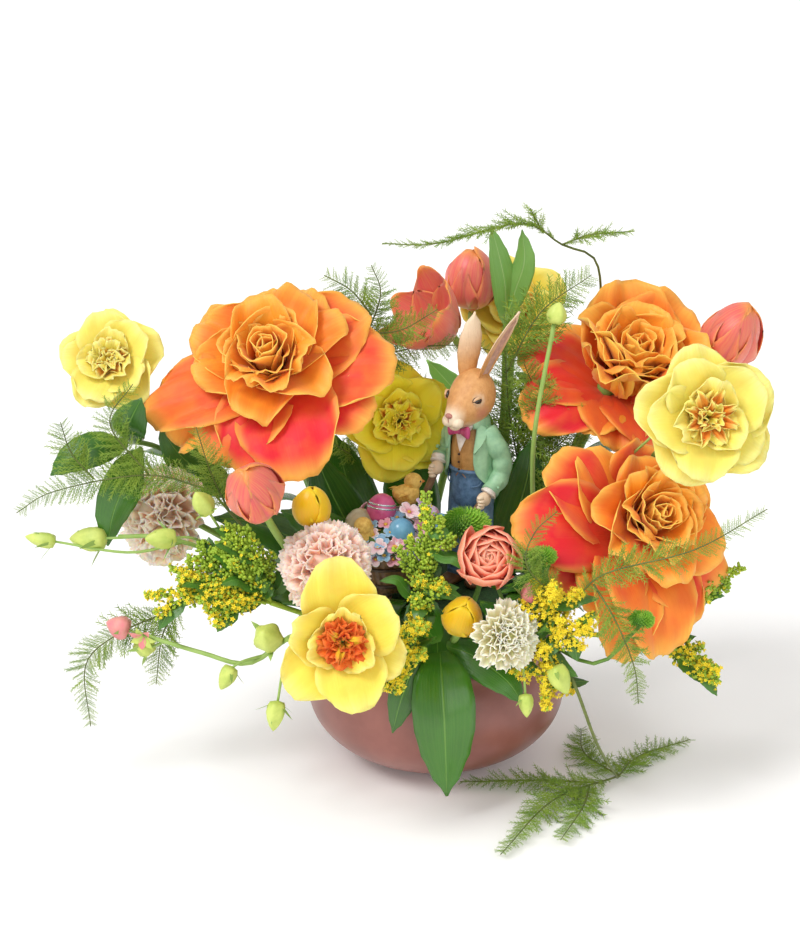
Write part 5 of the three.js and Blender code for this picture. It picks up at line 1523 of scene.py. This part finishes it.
HEAD = Vector((0, 1, 135))
PAWS = ((-1, Vector((-20, 14, 68))), (1, Vector((20, 14, 82))))
SEAT_GAP = 0.3
rabbit_at = standing((24, 4, FOAM_TOP + SEAT_GAP))
RABBIT_TURN = rabbit_at.to_3x3().to_4x4()


def on_rabbit(x, y, z):
    return rabbit_at @ Vector((x, y, z))


def wrist_of(side, paw):
    return paw + Vector((side * 1.5, -5.5, 5.5))


FUR = fur_paint()
INNER_EAR = paint("inner_ear_paint", "d9b3a6", "a98478", 300.0)
EYE = finish("eye_paint", "1f1410", 0.12, coat_weight=0.8)
mottled(EYE, "2a1a12", "0d0908", scale=900.0, detail=2.0, amount=0.8, bump=0.02, depth=0.0001)
NOSE = paint("nose_paint", "c98a7c", "9d5f56", 500.0, 0.35)


def head_colour(p):
    """Cream on the muzzle, chin and round the eyes; a blush on the cheeks."""
    muzzle = max(0.0, min(1.0, (p.y - 17) / 7)) * max(0.0, min(1.0, (1 - p.z) / 8))
    chin = max(0.0, min(1.0, (-12 - p.z) / 5))
    around_eye = max(0.0, 1 - ((abs(p.x) - 13) ** 2 + (p.y - 9) ** 2 + (p.z - 1.6) ** 2) / 30)
    cheek = max(0.0, 1 - ((abs(p.x) - 13) ** 2 + (p.y - 6) ** 2 + (p.z + 8) ** 2) / 46)
    return min(1.0, max(muzzle, chin * 0.8, around_eye * 0.7)), cheek * 0.6


def ear(bm, at, lean, tip):
    """A long upright ear, hollow on its outer side, which is painted pink."""
    length, half_width = 45.0, 8.6
    outline = (0.6, 0.84, 1.0, 0.96, 0.7, 0.04)
    left = lean < 0
    side = Vector((0, 1, 0)) if left else Vector((0.5, 0.87, 0))
    out = side.cross(Vector((0, 0, 1))) * (1 if left else -1)
    tone = bm.verts.layers.float_color["tone"]

    def spine(t):
        return Vector(
            (lean + (tip[0] - lean) * t, -2 + (tip[1] + 2) * (0.5 * t + 0.5 * t * t), length * t)
        )

    def place(s, t):
        angle = s * pi
        half = half_width * along(outline, t)
        depth = sin(angle)
        depth = 3.6 * depth if depth > 0 else -0.6 * depth
        return at @ (spine(t) + side * half * cos(angle) + out * depth * (1 - 0.5 * t))

    made = sheet(bm, place, 24, 22)
    for vert in made:
        t = vert[tone][0]
        vert[tone] = (t, vert[tone][1], max(0.0, min(1.0, (t - 0.25) / 0.5)) * 0.75, 0.0)
    for face in {f for vert in made for f in vert.link_faces}:
        middle = at.inverted() @ face.calc_center_median()
        t = middle.z / length
        rim = half_width * along(outline, t) - 1.9
        off = middle - spine(t)
        hollow = -rim < off.dot(side) < (0.25 * rim if left else rim) and off.dot(out) < 0.7
        if hollow and 0.06 < t < 0.93:
            face.material_index = 3
    bmesh.ops.remove_doubles(bm, verts=made, dist=1e-3)


def rabbit_head():
    bm = start_mesh()
    at = rabbit_at @ Matrix.Translation(HEAD)
    skull = (
        (-17, 1, 0, 0), (-15, 1, 8, 9), (-8, 1.0, 14.2, 16.6), (1, -0.6, 15.6, 18.6), (9, -3.4, 13.6, 16),
        (15.5, -6.6, 9.8, 11.4), (21, -9, 6.8, 7.6), (25, -10, 4.2, 4.4), (26.2, -10.2, 0, 0),
    )
    loft(bm, at, skull, "Y", 40, 40, colour=head_colour)
    for side in BOTH:
        ball(bm, at @ Vector((side * 3.6, 21, -12.6)), (4.4, 5.4, 4.2), heat=1.0)
        eye_turn = Matrix.Rotation(radians(RABBIT_FACES - 62 * side), 4, "Z")
        ball(bm, at @ Vector((side * 12.2, 10.4, 1.6)), (3.5, 1.9, 2.7), eye_turn, slot=1)
        for above, reach in ((2.2, 3.4), (-2.5, 2.4)):
            lid = []
            for k in (-1, -0.5, 0, 0.5, 1):
                x, y = side * (13.4 - abs(k) - 0.5 * k), 10.2 + 3.9 * k
                lid.append(at @ Vector((x, y, 1.6 + above * (1 - k * k * 0.8))))
            tube(bm, lid, lambda t, fat=0.32 * reach: fat * sin(pi * (0.15 + 0.7 * t)), 8, 12, heat=0.35)
        for k in range(6):
            row, place = divmod(k, 3)
            whisker = Vector((side * (5.4 + 0.5 * place), 23.5 - 1.8 * place, -11.4 - 1.3 * row))
            ball(bm, at @ whisker, (0.35, 0.35, 0.35), detail=1, slot=2)
    ball(bm, at @ Vector((0, 25.6, -7.4)), (2.8, 1.9, 1.9), RABBIT_TURN, slot=2)
    ball(bm, at @ Vector((0, 18.5, -16.6)), (4.0, 4.6, 2.8), heat=0.9)
    lips = points_on(at, (0, 26.4, -8.6), (0, 26, -11), (0, 25, -13))
    tube(bm, lips, lambda t: 0.4, 6, 8, slot=2)
    for lean, tip in ((-7, (-20, -27)), (6, (5, -9))):
        ear(bm, at @ Matrix.Translation((0, 0, 11.5)), lean, tip)
    settle(bm, "rabbit_head", [FUR, EYE, NOSE, INNER_EAR], "rabbit_figure")


def rabbit_body():
    bm = start_mesh()
    jeans = paint("jeans_paint", "5f83a8", "34536f", 240.0, 0.55, 0.5)
    waistcoat = paint("waistcoat_paint", "bf8f4f", "97672f", 220.0, 0.5, 0.4)
    shirt = paint("shirt_paint", "f4eee6", "d3c6b8", 200.0, 0.45)
    shoe = paint("shoe_paint", "7a5230", "4f331c", 200.0, 0.35)
    button = finish("button_paint", "3a2414", 0.3)
    mottled(button, "4a2f1c", "22140a", scale=700.0, detail=3.0, amount=0.8, bump=0.1, depth=0.0002)
    stations = (
        (78, 0.6, 0, 0), (79, 0.6, 12, 9.6), (84, 1, 14, 11.8), (92, 1.4, 14.6, 12.6),
        (100, 1.2, 14.6, 12.2), (109, 0.8, 13, 10.8), (115, 0.8, 9, 8.6), (121, 1, 8, 7.6), (124, 1, 0, 0),
    )
    loft(bm, rabbit_at, stations, "Z", slot=1)
    hips = (
        (54, 0, 0, 0), (55, 0, 11, 8), (62, 0, 15.6, 12.2), (72, 0.4, 16, 12.8), (80, 0.6, 15, 12.4),
        (86, 0.6, 14.6, 12.2), (86.3, 0.6, 0, 0),
    )
    loft(bm, rabbit_at, hips, "Z", slot=0)
    turns = [k * pi / 12 for k in range(25)]
    belt = [on_rabbit(14.9 * cos(a), 0.6 + 12.6 * sin(a), 84.6) for a in turns]
    tube(bm, belt, lambda t: 1.5, 8, 60, slot=0)
    for side in BOTH:
        stride = 3.5 * side
        leg = points_on(
            rabbit_at, (side * 7.4, 0, 70), (side * 8.4, 1.5 + stride * 0.4, 40), (side * 8.4, stride, 18),
            (side * 8, stride, 5),
        )
        tube(bm, leg, lambda t: 9.4 - 2.2 * t + 0.35 * sin(38 * t) * t, 20, 30, slot=0)
        cuff = points_on(rabbit_at, *((side * 8, stride, z) for z in (11, 8.5, 6)))
        tube(bm, cuff, lambda t: 7.9, 18, 6, slot=0)
        foot = (
            (-8, 0, 0, 0), (-6.5, 0, 5, 3.4), (0, 0, 6.6, 4.2), (9, -0.6, 6.8, 3.6), (15, -1.2, 5.2, 2.8),
            (17.5, -1.6, 0, 0),
        )
        loft(bm, rabbit_at @ Matrix.Translation((side * 8.6, stride + 1, 4.4)), foot, "Y", 18, 16, slot=3)
        pocket = points_on(rabbit_at, (side * 14.8, 5, 82), (side * 13, 9.6, 76), (side * 8.6, 12.4, 74.5))
        tube(bm, pocket, lambda t: 0.5, 6, 12, slot=0)
    for z in (86, 91.5, 97):
        ball(bm, on_rabbit(0.6, 14.1, z), (1.0, 0.7, 1.0), detail=2, slot=4)
    for side in BOTH:
        hem = points_on(
            rabbit_at, (side * 0.8, 13.8, 97), (side * 0.6, 14.1, 91), (side * 0.8, 13.6, 85),
            (side * 4, 12.4, 80.5),
        )
        tube(bm, hem, lambda t: 0.45, 6, 20, slot=1)

    def shirt_front(s, t):
        width = 7.4 * (1 - t) + 0.3
        return on_rabbit(
            s * width, 12.2 - 3.0 * (1 - t) ** 2 - 0.05 * (s * width) ** 2 + 1.7, 118 - 19 * t,
        )

    sheet(bm, shirt_front, 8, 10, slot=2)
    for side in BOTH:

        def wing(s, t, side=side):
            x = side * (0.6 + 8.6 * t)
            drop = 7.5 * (1 - t) ** 0.8 + 1.5
            return on_rabbit(x, 12.6 - 0.075 * x * x + 1.1, 119.5 - (s + 1) / 2 * drop + 1.2 * t)

        sheet(bm, wing, 4, 8, slot=2)
    sleeves(bm)
    settle(
        bm, "rabbit_body", [jeans, waistcoat, shirt, shoe, button, FUR], "rabbit_figure",
    )


def sleeves(bm):
    """Shirt cuffs and paws at the end of each arm, the paw closed round its handle."""
    for side, paw in PAWS:
        wrist = wrist_of(side, paw)
        way = (paw - wrist).normalized()
        cuff = points_on(rabbit_at, *(wrist + way * k for k in (-2, 0, 2.4)))
        tube(bm, cuff, lambda t: 5.4 + 0.5 * sin(9 * t), 16, 8, slot=2)
        ball(
            bm, rabbit_at @ (paw + Vector((0, -0.6, 0.8))), (4.6, 5.4, 5.0), RABBIT_TURN, heat=0.75,
            slot=5,
        )
        for k in range(4):
            finger = paw + Vector((side * (1.5 - 2.6 * abs(k - 1.5) * 0.3), 3.4, 3.2 - 2.3 * k))
            ball(bm, rabbit_at @ finger, (2.4, 3.0, 1.5), RABBIT_TURN, heat=0.95, slot=5)


def rabbit_coat():
    """The jacket is one shell, open down the front, with its lapels turned over its edges."""
    bm = start_mesh()
    mint = paint("jacket_paint", "a6d2a8", "7fb08a", 130.0, 0.48, 0.35)
    sizes = (
        # height, half width, half depth, half gap in degrees
        (119, 10.2, 9.4, 46),
        (115, 13.6, 10.8, 44),
        (109, 16.6, 12.6, 38),
        (100, 17.0, 14.2, 36),
        (90, 16.8, 14.8, 38),
        (81, 17.6, 15.4, 46),
        (72, 18.6, 16.0, 68),
    )

    def shell(s, t):
        height, wide, deep, gap = eased(sizes, t)
        angle = radians(-90 + s * (180 - gap))
        fold = 1 + 0.03 * sin(9 * angle + 3 * t) * t + 0.012 * sin(23 * angle)
        lift = 5.0 * t**4 * abs(s) ** 6
        return on_rabbit(wide * fold * cos(angle), 0.6 + deep * fold * sin(angle), height + lift)

    sheet(bm, shell, 60, 34)
    for side in BOTH:

        def lapel(s, t, side=side):
            height, wide, deep, gap = eased(sizes, 0.02 + 0.5 * t)
            width = 30 * sin(pi * min(1.0, 0.3 + 0.72 * t)) ** 0.8 * (1.0 if t > 0.16 else 0.72)
            angle = radians(90 + side * (gap + 1 + (s + 1) / 2 * width))
            away = 1.05 + 0.08 * (s + 1) / 2
            return on_rabbit(wide * away * cos(angle), 0.6 + deep * away * sin(angle), height)

        sheet(bm, lapel, 8, 16)

        paw = dict(PAWS)[side]
        wrist = wrist_of(side, paw)
        arm = points_on(
            rabbit_at, (side * 11.5, 0, 112), (side * 17.6, -1, 105), (side * 22, -4, 92 + 0.03 * paw.z),
            (side * 22.4, -2, (wrist.z + 88) / 2 + 1), wrist,
        )
        tube(bm, arm, lambda t: 6.9 - 1.5 * t + 0.35 * sin(26 * t) * (0.4 + t), 20, 40)
        for z in (0, 3.4):
            ball(bm, rabbit_at @ (wrist + Vector((side * 5.4, -2 - z, 3 + z))), (0.9, 0.9, 0.9), detail=2)

    def collar(s, t):
        angle = radians(-90 + s * 142)
        away = 1.0 + 0.2 * t
        return on_rabbit(10.8 * away * cos(angle), 0.8 + 10.0 * away * sin(angle), 121.5 - 6 * t * t)

    sheet(bm, collar, 40, 6)
    settle(bm, "rabbit_coat", [mint], "rabbit_figure", 1.1)


def rabbit_tie():
    bm = start_mesh()
    raspberry = paint("bow_tie_paint", "d8568c", "a83266", 260.0, 0.4)
    for side in BOTH:
        bow = (
            (0.6, 0, 0, 0), (1.2, 0, 1.2, 1.8), (4.5, 0.2, 1.9, 3.3), (8.2, 0.4, 1.8, 4.4),
            (9.4, 0.4, 0, 0),
        )
        turn = Matrix.Rotation(radians(-90 * side + 8 * side), 4, "Z")
        loft(bm, rabbit_at @ Matrix.Translation((0, 14.2, 113.6)) @ turn, bow, "Y", 16, 14)
    ball(bm, on_rabbit(0, 14.6, 113.6), (1.9, 1.8, 2.3))
    settle(bm, "rabbit_bow_tie", [raspberry], "rabbit_figure")


rabbit_head()
rabbit_body()
rabbit_coat()
rabbit_tie()


# ----------
# Barrow: a toy wheelbarrow of the same resin, its staves and spoked wheel painted as old wood
# and its bands, axle and fork as iron. The rabbit's paws close round its two handles.
# ----------
barrow_at = standing((-27, -31, FOAM_TOP + SEAT_GAP))


def hoop(bm, at, radius, thick, flat, slot=0):
    """A ring about the X axis of `at`, round in section."""

    def place(s, t):
        around, section = t * 2 * pi, s * pi
        reach = radius + thick * cos(section)
        return at @ Vector((thick * flat * sin(section), reach * cos(around), reach * sin(around)))

    sheet(bm, place, 10, 48, slot=slot, weld=1e-3)


def barrow():
    bm = start_mesh()
    wood = paint("barrow_wood_paint", "8a6a48", "553c25", 190.0, 0.55, 0.6)
    iron = paint("barrow_iron_paint", "5b4a3a", "33291f", 260.0, 0.4, 0.4)

    low, rise, half_width, half_length = 14, 30, 22, 31

    def grow(height):
        return 0.74 + 0.26 * (height - low) / rise

    def tub(s, t):
        angle = s * pi
        wide = (0.74 + 0.26 * t) * (1 - 0.035 * abs(sin(9 * angle)) ** 8)
        return barrow_at @ round_spot(half_width * wide, half_length * wide, angle, low + rise * t)

    def floor(s, t):
        return barrow_at @ round_spot(half_width * 0.74 * t, half_length * 0.74 * t, s * pi, low)

    sheet(bm, tub, 144, 10, weld=1e-3)
    sheet(bm, floor, 40, 4, weld=1e-3)
    turns = [k * pi / 16 for k in range(33)]
    for height, thick, slot in ((43, 1.7, 0), (32, 1.0, 1), (19, 1.1, 1)):
        wide, long = 22.4 * grow(height), 31.4 * grow(height)
        band = points_on(barrow_at, *(round_spot(wide, long, a, height) for a in turns))
        tube(bm, band, lambda t, thick=thick: thick, 8, 80, slot=slot)
    wheel = barrow_at @ Matrix.Translation((0, 18, 12.4))
    hoop(bm, wheel, 10.6, 1.7, 1.3)
    ball(bm, wheel.translation, (3.0, 3.0, 3.0))
    for k in range(8):
        a = k * pi / 4
        spoke = points_on(wheel, *((0, r * cos(a), r * sin(a)) for r in (1, 5.5, 10.4)))
        tube(bm, spoke, lambda t: 1.0, 8, 6)
    tube(bm, points_on(wheel, (-9, 0, 0), (0, 0, 0), (9, 0, 0)), lambda t: 1.2, 8, 6, slot=1)
    to_barrow = barrow_at.inverted() @ rabbit_at
    for side, paw in PAWS:
        start = Vector((side * 12, -12.4, 24))
        hand = to_barrow @ paw
        end = hand + (hand - start).normalized() * 4
        bar = points_on(barrow_at, start, start.lerp(hand, 0.5) - Vector((0, 0, 3)), hand, end)
        tube(bm, bar, lambda t: 1.9 + 0.5 * t, 10, 26)
        foot = points_on(barrow_at, (side * 12, -17, 22), (side * 14.6, -21.6, 9), (side * 15, -22.4, 1.4))
        tube(bm, foot, lambda t: 2.2 - 0.3 * t, 10, 14)
        fork = points_on(barrow_at, (side * 6, 8, 15), (side * 6.4, 14, 13), (side * 6.4, 19.5, 12.2))
        tube(bm, fork, lambda t: 1.5, 8, 12, slot=1)
    settle(bm, "barrow_tub", [wood, iron], "egg_barrow", 0.6)


barrow()


# ----------
# Load of the barrow: painted eggs and two chicks in a heap of resin blossoms and small leaves,
# all cast in one piece.
# ----------
HEAP = (23.0, 32.0, 17.0)  # half width, half length, height
EGGS = (
    # centre, half sizes, lean, paint, shade, bands
    ((7, 8, 67), (9.6, 9.6, 11), 12, "e2699b", "c54a80", True),
    ((17, 19, 58), (9.4, 9.4, 10.4), 30, "cbc4a4", "a39a78", False),
    ((-13, 12, 57), (8.8, 8.8, 9.8), -20, "7cb9d8", "5897bd", False),
    ((-21, -19, 54), (7, 7, 8.5), 35, "86bcd8", "5c97b8", False),
    ((20, -10, 56), (8, 8, 9.4), -30, "b7d58c", "8fb564", False),
    ((-4, -30, 52), (7.6, 7.6, 9), 20, "f0b7c6", "d891a6", False),
)


def egg_colours():
    """One paint for each egg, and the silver of the bands."""
    paints = []
    for number, (_, _, _, colour, shade, _) in enumerate(EGGS):
        paints.append(paint(f"egg_paint_{number}", colour, shade, 120.0, 0.22, 0.1))
    silver = finish("silver_band", "d8dde2", 0.25, metallic=0.8)
    mottled(silver, "dfe3e8", "b4bcc6", scale=500.0, detail=3.0, amount=0.6, bump=0.1, depth=0.0001)
    return [*paints, silver]


def eggs():
    bm = start_mesh()
    for number, (at, size, lean, _, _, banded) in enumerate(EGGS):
        turn = Matrix.Rotation(radians(lean), 4, "X")
        where = barrow_at @ Matrix.Translation(at) @ turn
        stations = []
        for a in range(-90, 91, 15):
            width = size[0] * cos(radians(a)) * (1.04 - 0.06 * a / 90)
            stations.append((size[2] * sin(radians(a)), 0.0, width, width))
        loft(bm, where, stations, "Z", 28, 26, slot=number)
        if banded:
            for height in (0.18, 0.4):
                level = where @ Matrix.Translation((0, 0, size[2] * height))
                radius = size[0] * sqrt(1 - height * height) * (1.04 - 0.04 * height)
                hoop(bm, level @ Matrix.Rotation(pi / 2, 4, "Y"), radius, 0.5, 1.4, slot=len(EGGS))
    settle(bm, "barrow_eggs", egg_colours(), "barrow_load")


def chick(bm, at, turn, size):
    """A fluffy chick sitting with its wings half open."""
    where = barrow_at @ Matrix.Translation(at) @ Matrix.Rotation(
        radians(turn), 4, "Z",
    ) @ Matrix.Scale(size, 4)
    body = (
        (-10.5, 3.0, 0, 0), (-9.5, 2.6, 3.4, 3.4), (-5, 0.6, 7, 7), (0, 0, 8, 8.4), (5, 0.8, 7, 8),
        (8, 2.4, 4.6, 6), (9.4, 3, 0, 0),
    )
    loft(bm, where, body, "Y", 24, 22)
    ball(bm, where @ Vector((0, 5, 10)), (6.2, 6.0, 5.9))
    beak = ((10.2, 9.4, 0, 0), (10.4, 9.4, 2.2, 1.6), (12.6, 9.2, 1.2, 0.9), (14.2, 9.0, 0, 0))
    loft(bm, where, beak, "Y", 10, 8, slot=1)
    for side in BOTH:
        ball(bm, where @ Vector((side * 4.6, 8.2, 11)), (1.0, 1.0, 1.0), detail=2, slot=2)
        for k in range(4):
            wing = where @ Matrix.Translation((side * 7.2, -1, 3 - 1.4 * k))
            petal(
                bm, wing, -90 + side * (18 + 8 * k), 9.5 - k, 4.2, (78, 100), STRAP_OUTLINE, root=0, cup=4,
                across=4, rows=5, slot=0,
            )


def chicks():
    bm = start_mesh()
    down = paint("chick_paint", "efca6a", "c99636", 420.0, 0.6, 0.9)
    beak = paint("beak_paint", "e58a3c", "b9662a", 300.0, 0.4)
    chick(bm, (2, -13, 72), 148, 0.95)
    chick(bm, (5, 27, 55), 10, 0.8)
    settle(bm, "barrow_chicks", [down, beak, EYE], "barrow_load")


def heap_flowers():
    bm = start_mesh()
    blossoms = [
        petal_material(f"resin_{name}blossom", *colours, claw_reach=reach, veins=0.1, glow=0.0)
        for name, colours, reach in (
            ("", ("fbeff0", "f2a9bb", "e0718f", "ffffff"), 0.5),
            ("pink_", ("f4b6c4", "ee93a8", "dd6d88", "fbd5dc"), 0.4),
            ("lilac_", ("d9bfe6", "c9a6dc", "a988c4", "ecdcf4"), 0.3),
            ("blue_", ("9cc9e6", "7fb3d8", "5c93bd", "c8e2f2"), 0.3),
        )
    ]
    yellow = paint("resin_flower_heart", "f2c94e", "d59f2a", 400.0, 0.5, 0.5)
    moss = paint("resin_heap_green", "5d7f3c", "38582a", 90.0, 0.6, 1.0)
    dice = random.Random(210)
    wide, long, tall = HEAP
    dome = []
    for a in map(radians, range(0, 91, 15)):
        dome.append((44 + tall * sin(a), 0.0, wide * cos(a), long * cos(a)))
    loft(bm, barrow_at, [(43.6, 0, 0, 0), *dome], "Z", 36, 22, slot=5)
    picked = (
        # place, size, paint
        ((-12.6, 4.1, 67), 7.5, 0),
        ((-16, 22, 49), 7, 1),
        ((-8, 30, 49), 6.5, 0),
        ((22, 8, 62), 6, 1),
        ((-15, -9, 66), 8.5, 2),
        ((12, -3, 66), 6, 3),
        ((-20, 2, 57), 6, 1),
        ((-22, 12, 50), 5.5, 0),
        ((14, 30, 49), 6, 1),
        ((24, 22, 50), 5.5, 0),
    )
    spots = [(Vector(at), size, slot) for at, size, slot in picked]
    for k in range(46):
        height = 1 - 0.94 * (k + 0.5) / 46
        around = k * GOLDEN_TURN
        flat = sqrt(1 - height * height)
        at = round_spot(wide * flat, long * flat, around, 44.5 + tall * height)
        spots.append((at, dice.uniform(4.2, 6), dice.choice((0, 0, 1, 1, 1, 2, 3))))
    for k in range(30):
        around = 2 * pi * k / 30
        at = round_spot(wide * 1.03, long * 1.03, around, 44 - 3 * (k % 2))
        spots.append((at, dice.uniform(5, 6.5), dice.choice((0, 1, 1, 2, 3))))
    for at, size, slot in spots:
        out = Vector((at.x * 0.7, at.y * 0.5, 16)).normalized()
        where = barrow_at @ aimed(at, out, (1, 1, 1))
        for p in range(5):
            petal(
                bm, where, 72 * p + 30 * dice.random(), size, size * 0.86, (66, 80), ROSE_OUTLINE,
                root=0.4, lift=1.6, cup=size * 0.6, ripple=size * 0.04, across=4, rows=5,
                heat=dice.uniform(0, 0.5), chance=dice.random(), slot=slot,
            )
        ball(bm, where @ Vector((0, 0, 2.4)), (1.3, 1.3, 1.0), detail=1, slot=4)
    for k in range(16):
        around = k * GOLDEN_TURN
        at = round_spot(wide * 0.95, long * 0.95, around, 46 + 5 * dice.random())
        where = barrow_at @ aimed(at, (at.x, at.y, 14), (1, 1, 1))
        petal(
            bm, where, dice.uniform(0, 360), 9, 4.6, (50, 84), STRAP_OUTLINE, root=0, cup=5, across=4,
            rows=6, slot=5,
        )
    settle(bm, "barrow_flowers", [*blossoms, yellow, moss], "barrow_load", 0.5)


eggs()
chicks()
heap_flowers()
